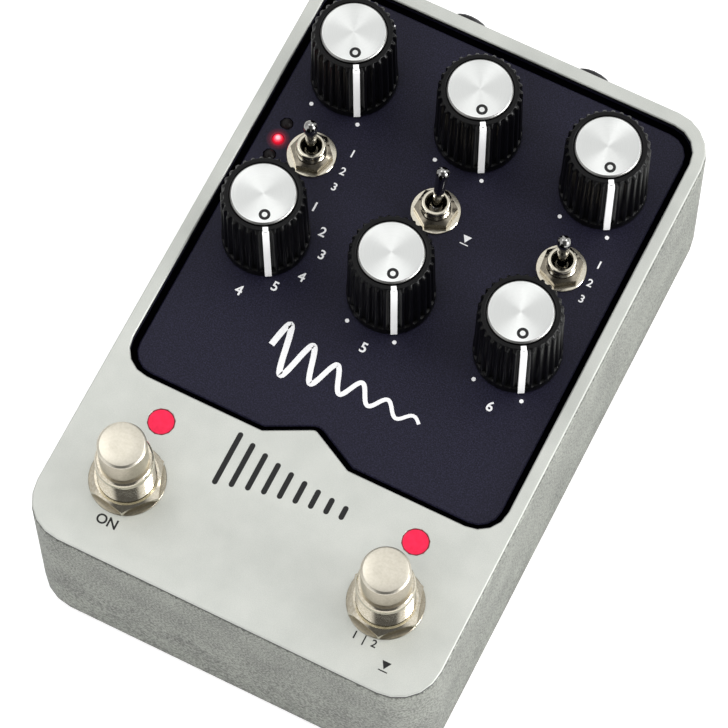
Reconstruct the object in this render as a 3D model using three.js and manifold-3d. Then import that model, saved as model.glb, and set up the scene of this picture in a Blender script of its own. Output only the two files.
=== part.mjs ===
// A stereo delay pedal: cast housing, windowed top plate, recessed control panel with six fluted
// knobs and three bat toggles, two footswitches, and the boards and sockets that they work.
// Millimetres, +Z up, front edge towards -Y, origin under the middle of the part on the floor.

import * as THREE from "three";
import { mergeVertices } from "three/addons/utils/BufferGeometryUtils.js";
import Module from "manifold-3d";

const wasm = await Module();
wasm.setup();

// Fits, and how far a flat facet may stray from its curve
const runningGap = 0.18;
const seatGap = 0.2;
const boardGap = 1;
const cutOverrun = 1;
const curveStray = 0.15;
const weldDistance = 1e-4;
const hexSides = 6;
const nutFaceShare = 0.985;

// Housing
const bodyWidth = 91.8;
const bodyLength = 142.7;
const wallHeight = 43;
const bodyCornerRadius = 9.8;
const bodyWall = 2.8;
const bodyDraft = 0.4;
const bodyFootRound = 0.9;
const bodySeamChamfer = 0.25;
const footProud = 1.5;
const ledgeThickness = 1.8;
const ledgeWidth = 3.5;
const coverRebate = 1.6;
const screwBossRadius = 3.8;
const screwBossFromEdge = 6.5;
const boardBossRadius = 2.5;
const boardBossHeight = 12;
const boardBossFromEnd = 41.75;
const boardBossBite = 0.5;

// Top plate
const plateThickness = 1.2;
const plateInset = 0.15;
const plateChamfer = 0.2;

// Window in the top plate
const windowFromSide = 2.95;
const windowFromRear = 3.25;
const windowFromFront = 39.55;
const windowCornerRadius = 6.6;
const windowChamfer = 0.25;
const chevronHalfWidth = 9.8;
const chevronHeight = 5;
const chevronTipRadius = 1.2;
const chevronRootRadius = 0.8;

// Control panel tray
const panelDrop = 1.7;
const moatDrop = 2.6;
const moatWidth = 1.3;
const trayFloor = 1.4;
const trayRim = 1.5;
const plateauBevel = 0.4;

// Bottom cover and feet
const coverThickness = 1.6;
const coverSink = 0.3;
const screwHoleRadius = 1.45;
const screwHoleDepth = 10;
const screwSinkRadius = 2.8;
const screwSinkDepth = 1.3;
const footRadius = 6.4;
const footFloorRadius = 5.9;
const footEdgeBevel = 0.5;
const footFromSide = 13;
const footFromEnd = 20;

// Knobs, their caps and their potentiometers
const knobFromSide = 16.8;
const knobFromRear = 22.85;
const knobRowPitch = 40.9;
const knobLift = 0.5;
const knobTopRise = 19.6;
const knobBandRadius = 9.3;
const knobBandHeight = 2.2;
const knobRidgeFootRadius = 9.2;
const knobRidgeTopRadius = 8.85;
const knobGrooveDepth = 0.7;
const knobCrownDrop = 0.8;
const knobCrownRadius = 8.1;
const grooveCount = 30;
const pointerWidth = 1.4;
const pointerProud = 0.12;
const pointerTurn = -60;
const knobHollowRadius = 5.5;
const knobHollowHeight = 3.6;
const capRadius = 6.94;
const capProud = 0.5;
const capSeatDepth = 1;
const capBevel = 0.35;
const shaftRadius = 3;
const shaftReach = 12;
const shaftFlatInset = 1.5;
const shaftFlatLength = 7;
const potWidth = 9.6;
const potLength = 11;
const potHeight = 6.8;
const potBushingRadius = 4.2;
const potBushingRise = 2.4;
const potBoreDepth = 3;

// Toggle switches
const toggleFromKnobs = 20.05;
const toggleWidth = 7.9;
const toggleLength = 13;
const toggleBushingRadius = 3.17;
const toggleBushingRise = 3.2;
const toggleBushingChamfer = 0.5;
const toggleBoreRadius = 2.05;
const pivotBelowMouth = 3;
const leverBallRadius = 1.75;
const leverTailLength = 2.3;
const leverTailRadius = 0.9;
const leverNeckRadius = 1.05;
const leverTipRadius = 1.45;
const leverTipRise = 13.55;
const leverRestTilts = [0, -14, 0];
const toggleWasherRadius = 5.3;
const toggleWasherThickness = 0.5;
const toggleNutWall = 0.83;
const toggleNutHeight = 2;

// Footswitches
const footswitchFromSide = 16.6;
const footswitchFromFront = 17.85;
const footswitchSide = 15;
const footswitchDepth = 14;
const footswitchBushingRadius = 6.05;
const footswitchBushingRise = 12.1;
const footswitchShoulder = 1.1;
const plungerRadius = 5.05;
const plungerRise = 19.75;
const plungerChamfer = 0.45;
const plungerTravel = 3;
const plungerFootRise = 2;
const footswitchNutWall = 0.95;
const footswitchNutHeight = 2.6;
const footswitchNutTurns = [50, 46];

// Lamps
const statusLampFromSide = 16.9;
const statusLampFromFront = 31.95;
const statusLampRadius = 2.75;
const statusLampSink = 0.12;
const statusLampFlange = 1;
const modeLampFromSide = 8.8;
const modeLampFromToggles = 0.15;
const modeLampPitch = 4;
const modeLampRadius = 1.3;
const modeLampRise = 0.9;

// Rear jacks
const upperJackShare = 0.5;
const upperJackDrop = 12.2;
const lowerJackFromSide = 16.6;
const lowerJackDrop = 25;
const jackNoseRadius = 4.6;
const jackNoseProud = 4.4;
const jackNoseChamfer = 0.5;
const jackBoreRadius = 3.35;
const jackBoreDepth = 24;
const jackSide = 12;
const jackLength = 21;
const jackNutFlats = 12.7;
const jackNutThickness = 2;

// Power and data sockets and the pairing button
const socketSink = 0.4;
const powerHoleRadius = 3.9;
const powerBoreRadius = 2.95;
const powerPinRadius = 1;
const powerPinSink = 1;
const powerBoreDepth = 9.5;
const powerWidth = 9;
const powerHeight = 11;
const powerLength = 12.5;
const usbWidth = 9;
const usbHeight = 3.3;
const usbShell = 0.35;
const usbDepth = 7;
const usbLength = 12.5;
const usbTongue = 0.7;
const pairRadius = 1.9;
const pairProud = 0.6;
const pairTravel = 0.8;
const pairFlangeRadius = 2.7;
const pairFlangeThickness = 0.8;
const pairSwitchSide = 6.4;
const pairSwitchLength = 7;

// Boards
const boardThickness = 1.6;
const boardCornerRadius = 1.5;
const mainBoardSideGap = 1.2;
const mainBoardFromFront = 34.75;
const mainBoardFromRear = 12.75;
const mainBoardTongueFromSide = 13.1;
const controlBoardFromSide = 6.6;
const controlBoardFrontMargin = 6;
const controlBoardRearMargin = 2.5;

// Heights above the floor
const bodyBaseZ = footProud;
const faceZ = bodyBaseZ + wallHeight;
const rimZ = faceZ - plateThickness;
const panelZ = faceZ - panelDrop;
const moatZ = faceZ - moatDrop;
const trayBaseZ = moatZ - trayFloor;
const deckBaseZ = trayBaseZ - ledgeThickness;
const coverBaseZ = bodyBaseZ + coverSink;
const coverTopZ = coverBaseZ + coverThickness;
const controlBoardTopZ = trayBaseZ - potHeight;
const upperJackZ = faceZ - upperJackDrop;
const lowerJackZ = faceZ - lowerJackDrop;
const mainBoardTopZ = lowerJackZ - jackSide / 2;
const powerZ = mainBoardTopZ + powerHeight / 2;
const usbZ = mainBoardTopZ + usbHeight / 2;
const pairZ = mainBoardTopZ + pairSwitchSide / 2;

// Plan positions, from the middle of the housing
const partShiftY = (bodyDraft - jackNoseProud) / 2;
const sideFaceX = bodyWidth / 2;
const rearFaceY = bodyLength / 2;
const frontFaceY = -bodyLength / 2;
const rearWallY = rearFaceY - bodyWall;
const windowHalfWidth = sideFaceX - windowFromSide;
const windowRear = rearFaceY - windowFromRear;
const windowFront = frontFaceY + windowFromFront;
const knobColumn = sideFaceX - knobFromSide;
const knobRearRow = rearFaceY - knobFromRear;
const knobFrontRow = knobRearRow - knobRowPitch;
const toggleRow = knobRearRow - toggleFromKnobs;
const footswitchColumn = sideFaceX - footswitchFromSide;
const footswitchRow = frontFaceY + footswitchFromFront;
const statusLampColumn = sideFaceX - statusLampFromSide;
const statusLampRow = frontFaceY + statusLampFromFront;
const modeLampColumn = modeLampFromSide - sideFaceX;
const modeLampRow = toggleRow + modeLampFromToggles;
const lowerJackColumn = sideFaceX - lowerJackFromSide;
const upperJackColumn = lowerJackColumn * upperJackShare;
const usbColumn = (lowerJackColumn - jackSide / 2 + powerWidth / 2) / 2;
const pairColumn = -usbColumn;
const mainBoardFront = frontFaceY + mainBoardFromFront;
const mainBoardRear = rearFaceY - mainBoardFromRear;
const mainBoardTongueHalfWidth = sideFaceX - mainBoardTongueFromSide;
const controlBoardHalfWidth = sideFaceX - controlBoardFromSide;
const knobPlaces = [knobRearRow, knobFrontRow].flatMap((y) => [
  [-knobColumn, y],
  [0, y],
  [knobColumn, y],
]);
const togglePlaces = [-knobColumn, 0, knobColumn].map((x) => [x, toggleRow]);
const footswitchPlaces = [-footswitchColumn, footswitchColumn].map((x) => [x, footswitchRow]);
const statusLampPlaces = [-statusLampColumn, statusLampColumn].map((x) => [x, statusLampRow]);
const modeLampPlaces = [1, 0, -1].map((row) => [modeLampColumn, modeLampRow + row * modeLampPitch]);
const jackPlaces = [
  [-lowerJackColumn, lowerJackZ],
  [-upperJackColumn, upperJackZ],
  [upperJackColumn, upperJackZ],
  [lowerJackColumn, lowerJackZ],
];
const screwPlaces = fourPlaces(sideFaceX - screwBossFromEdge, rearFaceY - screwBossFromEdge);
const footPlaces = fourPlaces(sideFaceX - footFromSide, rearFaceY - footFromEnd);
const boardBossPlaces = fourPlaces(
  sideFaceX - bodyWall - boardBossRadius + boardBossBite,
  rearFaceY - boardBossFromEnd,
);

function fourPlaces(halfX, halfY) {
  return [
    [-halfX, -halfY],
    [halfX, -halfY],
    [-halfX, halfY],
    [halfX, halfY],
  ];
}

// Finishes
const finishes = {
  castGrey: { color: 0x9b9d9b, roughness: 0.75, metalness: 0.25 },
  satinSilver: { color: 0xc9cbc6, roughness: 0.5, metalness: 0.6 },
  panelBlack: { color: 0x24242e, roughness: 0.6, metalness: 0 },
  steel: { color: 0x8b8d8f, roughness: 0.5, metalness: 0.8 },
  nickel: { color: 0xd9d2c0, roughness: 0.18, metalness: 1 },
  spunAluminium: { color: 0xe4e6e4, roughness: 0.3, metalness: 0.9 },
  knobBlack: { color: 0x0b0b0c, roughness: 0.35, metalness: 0 },
  socketBlack: { color: 0x151515, roughness: 0.5, metalness: 0 },
  rubber: { color: 0x1a1a1a, roughness: 0.9, metalness: 0 },
  board: { color: 0x1d5a35, roughness: 0.6, metalness: 0 },
  redLens: { color: 0xf23350, roughness: 0.4, metalness: 0 },
  darkLens: { color: 0x3a3a32, roughness: 0.2, metalness: 0 },
};
const materials = Object.fromEntries(
  Object.entries(finishes).map(([name, finish]) => [
    name,
    new THREE.MeshStandardMaterial({ ...finish, flatShading: true }),
  ]),
);

// Flat facets that an arc needs to keep within the allowed stray
function facetsIn(radius, swing) {
  if (radius <= curveStray) return 1;
  return Math.ceil(swing / (2 * Math.acos(1 - curveStray / radius)));
}

// Points of an arc as [x, y], from one angle to another
function arc(centreX, centreY, radius, from, to) {
  const facets = facetsIn(radius, Math.abs(to - from));
  return Array.from({ length: facets + 1 }, (_, i) => {
    const angle = from + ((to - from) * i) / facets;
    return [centreX + radius * Math.cos(angle), centreY + radius * Math.sin(angle)];
  });
}

// A closed geometry, as a solid that can be cut and joined
function toSolid(geometry) {
  const bare = new THREE.BufferGeometry();
  bare.setAttribute("position", geometry.getAttribute("position"));
  bare.setIndex(geometry.getIndex());
  const welded = mergeVertices(bare, weldDistance);
  const corners = welded.getIndex().array;
  const kept = [];
  for (let i = 0; i < corners.length; i += 3) {
    const [a, b, c] = corners.slice(i, i + 3);
    if (a !== b && b !== c && c !== a) kept.push(a, b, c);
  }
  const vertProperties = welded.getAttribute("position").array;
  const triVerts = new Uint32Array(kept);
  return new wasm.Manifold(new wasm.Mesh({ numProp: 3, vertProperties, triVerts }));
}

function join(first, ...others) {
  return others.reduce((whole, solid) => whole.add(solid), first);
}

function cut(first, ...others) {
  return others.reduce((whole, solid) => whole.subtract(solid), first);
}

// The same solid at each of several places
function atPlaces(solid, places) {
  return places.map(([x, y]) => solid.translate([x, y, 0]));
}

// An outline's corners run anticlockwise, each with its own radius and number of facets
function cornerLoop(points, radius) {
  const facets = facetsIn(radius, Math.PI / 2);
  return points.map(([x, y]) => ({ point: new THREE.Vector2(x, y), radius, facets }));
}

function rectangleCorners(left, front, right, rear, radius) {
  const points = [
    [left, front],
    [right, front],
    [right, rear],
    [left, rear],
  ];
  return cornerLoop(points, radius);
}

function centredCorners(width, length, radius) {
  return rectangleCorners(-width / 2, -length / 2, width / 2, length / 2, radius);
}

function edgesAt(corners, i) {
  const count = corners.length;
  const here = corners[i].point;
  const arriving = here.clone().sub(corners[(i + count - 1) % count].point).normalize();
  const leaving = corners[(i + 1) % count].point.clone().sub(here).normalize();
  return { here, arriving, leaving, turn: Math.sign(arriving.cross(leaving)) };
}

function leftOf(direction) {
  return new THREE.Vector2(-direction.y, direction.x);
}

// Every edge moved inwards by the same amount, with the rounded corners kept concentric
function insetCorners(corners, inset) {
  return corners.map((corner, i) => {
    const { here, arriving, leaving, turn } = edgesAt(corners, i);
    const before = leftOf(arriving);
    const after = leftOf(leaving);
    const reach = inset / (1 + before.dot(after));
    const point = here.clone().addScaledVector(before.add(after), reach);
    const sharpest = Math.min(corner.radius, curveStray);
    return { ...corner, point, radius: Math.max(corner.radius - turn * inset, sharpest) };
  });
}

// The outline's points, with an arc at each corner
function outlineOf(corners) {
  return corners.flatMap((corner, i) => {
    const { here, arriving, leaving, turn } = edgesAt(corners, i);
    if (corner.radius === 0) return [here];
    const swing = Math.acos(THREE.MathUtils.clamp(arriving.dot(leaving), -1, 1));
    const start = here.clone().addScaledVector(arriving, -corner.radius * Math.tan(swing / 2));
    const centre = start.clone().addScaledVector(leftOf(arriving), turn * corner.radius);
    return Array.from({ length: corner.facets + 1 }, (_, step) =>
      start.clone().rotateAround(centre, (turn * swing * step) / corner.facets),
    );
  });
}

// A solid through a stack of outlines that have as many points each, closed flat at both ends
function loft(sections) {
  const count = sections[0].outline.length;
  const positions = sections.flatMap(({ outline, z }) => outline.flatMap((p) => [p.x, p.y, z]));
  const index = [];
  for (let level = 0; level + 1 < sections.length; level += 1) {
    for (let i = 0; i < count; i += 1) {
      const a = level * count + i;
      const b = level * count + ((i + 1) % count);
      index.push(a, b, b + count, a, b + count, a + count);
    }
  }
  const top = (sections.length - 1) * count;
  THREE.ShapeUtils.triangulateShape(sections[0].outline, []).forEach(([a, b, c]) => {
    index.push(c, b, a);
  });
  THREE.ShapeUtils.triangulateShape(sections.at(-1).outline, []).forEach(([a, b, c]) => {
    index.push(top + a, top + b, top + c);
  });
  const geometry = new THREE.BufferGeometry();
  geometry.setAttribute("position", new THREE.Float32BufferAttribute(positions, 3));
  geometry.setIndex(index);
  return toSolid(geometry);
}

// The same corners drawn at several heights, each with its own inset
function loftCorners(corners, levels) {
  return loft(levels.map(([z, inset]) => ({ outline: outlineOf(insetCorners(corners, inset)), z })));
}

function prism(corners, bottom, top) {
  const shape = new THREE.Shape(outlineOf(corners));
  const geometry = new THREE.ExtrudeGeometry(shape, { depth: top - bottom, bevelEnabled: false });
  return toSolid(geometry.translate(0, 0, bottom));
}

function block(width, length, bottom, top) {
  const geometry = new THREE.BoxGeometry(width, length, top - bottom);
  return toSolid(geometry.translate(0, 0, (top + bottom) / 2));
}

// A solid turned about +Z from a profile of [radius, height] that starts and ends on the axis,
// with as many facets as are asked for or else as the stray allows
function turned(profile, facets) {
  const widest = Math.max(...profile.map(([radius]) => radius));
  const points = profile.map(([radius, height]) => new THREE.Vector2(Math.max(radius, 0), height));
  const around = facets ?? 4 * facetsIn(widest, Math.PI / 2);
  return toSolid(new THREE.LatheGeometry(points, around).rotateX(Math.PI / 2));
}

function disc(radius, bottom, top, facets) {
  const profile = [
    [0, bottom],
    [radius, bottom],
    [radius, top],
    [0, top],
  ];
  return turned(profile, facets);
}

// A hexagonal nut whose upper corners are turned down to its flats
function hexNut(flats, height, boreRadius) {
  const cornerRadius = flats / Math.sqrt(3);
  const cornerFall = (cornerRadius - flats / 2) / 2;
  const hexagon = Array.from({ length: hexSides }, (_, i) => {
    const angle = (2 * Math.PI * i) / hexSides;
    return [cornerRadius * Math.cos(angle), cornerRadius * Math.sin(angle)];
  });
  const turnedProfile = [
    [0, 0],
    [cornerRadius + cutOverrun, 0],
    [cornerRadius + cutOverrun, height - cornerFall - cutOverrun / 2],
    [(flats / 2) * nutFaceShare, height],
    [0, height],
  ];
  const turnedForm = turned(turnedProfile, 2 * hexSides);
  const blank = prism(cornerLoop(hexagon, 0), 0, height).intersect(turnedForm);
  return cut(blank, disc(boreRadius, -cutOverrun, height + cutOverrun));
}

const pedal = new THREE.Group();
pedal.position.set(0, partShiftY, 0);

// One named piece of the pedal, from its solid
function piece(name, solid, material, parent = pedal) {
  const { vertProperties, triVerts } = solid.getMesh();
  const geometry = new THREE.BufferGeometry();
  geometry.setAttribute("position", new THREE.BufferAttribute(new Float32Array(vertProperties), 3));
  geometry.setIndex(new THREE.BufferAttribute(new Uint32Array(triVerts), 1));
  geometry.computeVertexNormals();
  const mesh = new THREE.Mesh(geometry, material);
  mesh.name = name;
  parent.add(mesh);
  return mesh;
}

function groupAt(x, y, z) {
  const group = new THREE.Group();
  group.position.set(x, y, z);
  pedal.add(group);
  return group;
}

// Outlines that several pieces share
const bodyCorners = centredCorners(bodyWidth, bodyLength, bodyCornerRadius);
const coverSeatCorners = insetCorners(bodyCorners, coverRebate);
const windowCorners = [
  ...cornerLoop([[-windowHalfWidth, windowFront]], windowCornerRadius),
  ...cornerLoop([[-chevronHalfWidth, windowFront]], chevronRootRadius),
  ...cornerLoop([[0, windowFront + chevronHeight]], chevronTipRadius),
  ...cornerLoop([[chevronHalfWidth, windowFront]], chevronRootRadius),
  ...cornerLoop([[windowHalfWidth, windowFront]], windowCornerRadius),
  ...cornerLoop([[windowHalfWidth, windowRear]], windowCornerRadius),
  ...cornerLoop([[-windowHalfWidth, windowRear]], windowCornerRadius),
];
const trayCorners = rectangleCorners(
  -windowHalfWidth - trayRim,
  windowFront - trayRim,
  windowHalfWidth + trayRim,
  windowRear + trayRim,
  windowCornerRadius + trayRim,
);

// Turns a solid's +Z to the rear, with its origin on the rear face at the given place
function alongRear(solid, x, z) {
  return solid.rotate([-90, 0, 0]).translate([x, rearFaceY, z]);
}

function usbOutline(offset) {
  const height = usbHeight + 2 * offset;
  return centredCorners(usbWidth + 2 * offset, height, height / 2);
}

// The walls lean out by the draft towards the open bottom
function makeHousing() {
  const roundShare = 1 - Math.SQRT1_2;
  const outer = loftCorners(bodyCorners, [
    [bodyBaseZ, bodyFootRound - bodyDraft],
    [bodyBaseZ + bodyFootRound * roundShare, bodyFootRound * roundShare - bodyDraft],
    [bodyBaseZ + bodyFootRound, -bodyDraft],
    [rimZ - bodySeamChamfer, 0],
    [rimZ, bodySeamChamfer],
  ]);
  const cavity = prism(insetCorners(bodyCorners, bodyWall), bodyBaseZ - cutOverrun, deckBaseZ);
  const coverSeat = prism(coverSeatCorners, bodyBaseZ - cutOverrun, coverTopZ);
  const trayPocket = prism(insetCorners(trayCorners, -seatGap), trayBaseZ, rimZ + cutOverrun);
  const trayOpening = prism(insetCorners(trayCorners, ledgeWidth), deckBaseZ - cutOverrun, rimZ);
  const screwBoss = disc(screwBossRadius, coverTopZ, deckBaseZ + ledgeThickness / 2);
  const screwHole = disc(screwHoleRadius, bodyBaseZ, coverBaseZ + screwHoleDepth);
  const boardBoss = disc(boardBossRadius, mainBoardTopZ, mainBoardTopZ + boardBossHeight);
  const switchHole = disc(
    footswitchBushingRadius + runningGap,
    deckBaseZ - cutOverrun,
    rimZ + cutOverrun,
  );
  const lampHole = disc(statusLampRadius + runningGap, deckBaseZ - cutOverrun, rimZ + cutOverrun);
  const jackHole = disc(jackNoseRadius + seatGap, -bodyWall - cutOverrun, cutOverrun);
  const powerHole = disc(powerHoleRadius, -bodyWall - cutOverrun, cutOverrun);
  const pairHole = disc(pairRadius + seatGap, -bodyWall - cutOverrun, cutOverrun);
  const usbHole = prism(usbOutline(seatGap), -bodyWall - cutOverrun, cutOverrun);
  const shell = join(
    cut(outer, cavity, coverSeat),
    ...atPlaces(screwBoss, screwPlaces),
    ...atPlaces(boardBoss, boardBossPlaces),
  );
  return cut(
    shell,
    trayPocket,
    trayOpening,
    ...atPlaces(screwHole, screwPlaces),
    ...atPlaces(switchHole, footswitchPlaces),
    ...atPlaces(lampHole, statusLampPlaces),
    ...jackPlaces.map(([x, z]) => alongRear(jackHole, x, z)),
    alongRear(powerHole, 0, powerZ),
    alongRear(pairHole, pairColumn, pairZ),
    alongRear(usbHole, usbColumn, usbZ),
  );
}

function makeTopPlate() {
  const blank = loftCorners(bodyCorners, [
    [rimZ, plateInset],
    [faceZ - plateChamfer, plateInset],
    [faceZ, plateInset + plateChamfer],
  ]);
  const window = loftCorners(windowCorners, [
    [rimZ - cutOverrun, 0],
    [faceZ - windowChamfer, 0],
    [faceZ + cutOverrun, -windowChamfer - cutOverrun],
  ]);
  const switchHole = disc(
    footswitchBushingRadius + runningGap,
    rimZ - cutOverrun,
    faceZ + cutOverrun,
  );
  const lampHole = disc(statusLampRadius + runningGap, rimZ - cutOverrun, faceZ + cutOverrun);
  return cut(
    blank,
    window,
    ...atPlaces(switchHole, footswitchPlaces),
    ...atPlaces(lampHole, statusLampPlaces),
  );
}

function makeControlPanel() {
  const tray = cut(
    prism(trayCorners, trayBaseZ, rimZ),
    prism(windowCorners, moatZ, rimZ + cutOverrun),
  );
  const plateau = loftCorners(windowCorners, [
    [moatZ - trayFloor / 2, moatWidth],
    [panelZ - plateauBevel, moatWidth],
    [panelZ, moatWidth + plateauBevel],
  ]);
  const holeFor = (radius) => disc(radius + runningGap, trayBaseZ - cutOverrun, panelZ + cutOverrun);
  return cut(
    join(tray, plateau),
    ...atPlaces(holeFor(potBushingRadius), knobPlaces),
    ...atPlaces(holeFor(toggleBushingRadius), togglePlaces),
    ...atPlaces(holeFor(modeLampRadius), modeLampPlaces),
  );
}

// The cover's screw holes are countersunk from below
function makeBottomCover() {
  const plate = prism(insetCorners(coverSeatCorners, seatGap), coverBaseZ, coverTopZ);
  const screwSeat = turned([
    [0, coverBaseZ - cutOverrun],
    [screwSinkRadius, coverBaseZ - cutOverrun],
    [screwSinkRadius, coverBaseZ],
    [screwHoleRadius, coverBaseZ + screwSinkDepth],
    [screwHoleRadius, coverTopZ + cutOverrun],
    [0, coverTopZ + cutOverrun],
  ]);
  return cut(plate, ...atPlaces(screwSeat, screwPlaces));
}

function makeFoot() {
  return turned([
    [0, 0],
    [footFloorRadius - footEdgeBevel, 0],
    [footFloorRadius, footEdgeBevel],
    [footRadius, coverBaseZ],
    [0, coverBaseZ],
  ]);
}

piece("housing", makeHousing(), materials.castGrey);
piece("top_plate", makeTopPlate(), materials.satinSilver);
piece("control_panel", makeControlPanel(), materials.panelBlack);
piece("bottom_cover", makeBottomCover(), materials.steel);
const foot = makeFoot();
footPlaces.forEach(([x, y], i) => {
  piece(`foot_${i + 1}`, foot, materials.rubber).position.set(x, y, 0);
});

// Knob parts are drawn from the knob's own underside, with the pointer towards +X
const knobBaseZ = panelZ + knobLift;
const knobHeight = faceZ + knobTopRise - knobBaseZ;
const crownZ = knobHeight - knobCrownDrop;
const capSeatZ = knobHeight - capSeatDepth;

// One level of the fluted skirt, where ridges and grooves alternate
function grooveRing(ridgeRadius, z) {
  const outline = Array.from({ length: 2 * grooveCount }, (_, i) => {
    const angle = (Math.PI * i) / grooveCount;
    const radius = i % 2 === 0 ? ridgeRadius : ridgeRadius - knobGrooveDepth;
    return new THREE.Vector2(radius * Math.cos(angle), radius * Math.sin(angle));
  });
  return { outline, z };
}

function makeKnob() {
  const skirt = loft([
    grooveRing(knobRidgeFootRadius, knobBandHeight / 2),
    grooveRing(knobRidgeTopRadius, crownZ),
    grooveRing(knobCrownRadius, knobHeight),
  ]);
  const band = disc(knobBandRadius, 0, knobBandHeight, grooveCount);
  const barBack = knobCrownRadius - 2 * knobGrooveDepth;
  const bar = loft(
    [
      [0, knobBandRadius],
      [knobBandHeight, knobBandRadius],
      [crownZ, knobRidgeTopRadius],
      [knobHeight, knobCrownRadius],
    ].map(([z, radius]) => {
      const front = radius + pointerProud;
      const corners = rectangleCorners(barBack, -pointerWidth / 2, front, pointerWidth / 2, 0);
      return { outline: outlineOf(corners), z };
    }),
  );
  const capSeat = disc(capRadius + runningGap, capSeatZ, knobHeight + cutOverrun);
  const hollow = disc(knobHollowRadius, -cutOverrun, knobHollowHeight);
  const bore = disc(shaftRadius + runningGap, 0, shaftReach + seatGap);
  return cut(join(skirt, band, bar), capSeat, hollow, bore);
}

function makeKnobCap() {
  const top = knobHeight + capProud;
  return turned([
    [0, capSeatZ],
    [capRadius, capSeatZ],
    [capRadius, top - capBevel],
    [capRadius - capBevel, top],
    [0, top],
  ]);
}

// A round shaft with a flat down one side of its upper end
function makePotShaft() {
  const rod = disc(shaftRadius, trayBaseZ - potBoreDepth + seatGap - knobBaseZ, shaftReach);
  const flatCut = block(
    shaftRadius,
    2 * shaftRadius,
    shaftReach - shaftFlatLength,
    shaftReach + cutOverrun,
  );
  return cut(rod, flatCut.translate([-shaftRadius - shaftRadius / 2 + shaftFlatInset, 0, 0]));
}

const knob = makeKnob();
const knobCap = makeKnobCap();
const potShaft = makePotShaft();
knobPlaces.forEach(([x, y], i) => {
  const group = groupAt(x, y, knobBaseZ);
  group.rotation.z = THREE.MathUtils.degToRad(pointerTurn);
  piece(`knob_${i + 1}`, knob, materials.knobBlack, group);
  piece(`knob_cap_${i + 1}`, knobCap, materials.spunAluminium, group);
  piece(`pot_shaft_${i + 1}`, potShaft, materials.nickel, group);
});

// The control board carries six potentiometer cases, whose bushings pass through the panel
function makeControlBoard() {
  const front = knobFrontRow - potLength / 2 - controlBoardFrontMargin;
  const rear = knobRearRow + potLength / 2 + controlBoardRearMargin;
  const outline = rectangleCorners(
    -controlBoardHalfWidth,
    front,
    controlBoardHalfWidth,
    rear,
    boardCornerRadius,
  );
  const plate = prism(outline, controlBoardTopZ - boardThickness, controlBoardTopZ);
  const jackNotch = block(
    jackSide + 2 * boardGap,
    2 * (rear - rearWallY + jackLength + boardGap),
    controlBoardTopZ - boardThickness - cutOverrun,
    controlBoardTopZ + cutOverrun,
  );
  const bushingFoot = trayBaseZ - potBoreDepth;
  const bushingTop = panelZ + potBushingRise;
  const pot = join(
    block(potWidth, potLength, controlBoardTopZ - boardThickness / 2, trayBaseZ),
    disc(potBushingRadius, bushingFoot, bushingTop),
  );
  const bore = disc(shaftRadius + runningGap, bushingFoot, bushingTop + cutOverrun);
  const notches = [-upperJackColumn, upperJackColumn].map((x) => jackNotch.translate([x, rear, 0]));
  return cut(
    join(cut(plate, ...notches), ...atPlaces(pot, knobPlaces)),
    ...atPlaces(bore, knobPlaces),
  );
}

piece("control_board", makeControlBoard(), materials.board);

// Each toggle lever rocks on a ball inside its bushing
const toggleMouthZ = faceZ + toggleBushingRise;
const pivotZ = toggleMouthZ - pivotBelowMouth;

function makeToggleBody() {
  const boreFootZ = pivotZ - leverTailLength - boardGap;
  const bushing = turned([
    [0, trayBaseZ - ledgeThickness],
    [toggleBushingRadius, trayBaseZ - ledgeThickness],
    [toggleBushingRadius, toggleMouthZ - toggleBushingChamfer],
    [toggleBushingRadius - toggleBushingChamfer, toggleMouthZ],
    [0, toggleMouthZ],
  ]);
  const bore = disc(toggleBoreRadius, boreFootZ, toggleMouthZ + cutOverrun);
  return cut(join(block(toggleWidth, toggleLength, controlBoardTopZ, trayBaseZ), bushing), bore);
}

function makeToggleLever() {
  const tipCentre = faceZ + leverTipRise - pivotZ - leverTipRadius;
  const tailAngle = -Math.acos(leverTailRadius / leverBallRadius);
  const neckAngle = Math.acos(leverNeckRadius / leverBallRadius);
  return turned([
    [0, -leverTailLength],
    [leverTailRadius, -leverTailLength],
    ...arc(0, 0, leverBallRadius, tailAngle, neckAngle),
    ...arc(0, tipCentre, leverTipRadius, 0, Math.PI / 2),
  ]);
}

const toggleBody = makeToggleBody();
const toggleLever = makeToggleLever();
const toggleWasher = cut(
  disc(toggleWasherRadius, 0, toggleWasherThickness),
  disc(toggleBushingRadius + seatGap, -cutOverrun, toggleWasherThickness + cutOverrun),
);
const toggleNut = hexNut(
  2 * (toggleBushingRadius + toggleNutWall),
  toggleNutHeight,
  toggleBushingRadius + seatGap,
);
const toggleNutZ = panelZ + toggleWasherThickness;
togglePlaces.forEach(([x, y], i) => {
  piece(`toggle_body_${i + 1}`, toggleBody, materials.nickel).position.set(x, y, 0);
  piece(`toggle_washer_${i + 1}`, toggleWasher, materials.nickel).position.set(x, y, panelZ);
  piece(`toggle_nut_${i + 1}`, toggleNut, materials.nickel).position.set(x, y, toggleNutZ);
  const group = groupAt(x, y, pivotZ);
  group.rotation.x = THREE.MathUtils.degToRad(leverRestTilts[i]);
  piece(`toggle_lever_${i + 1}`, toggleLever, materials.nickel, group);
});

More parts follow.
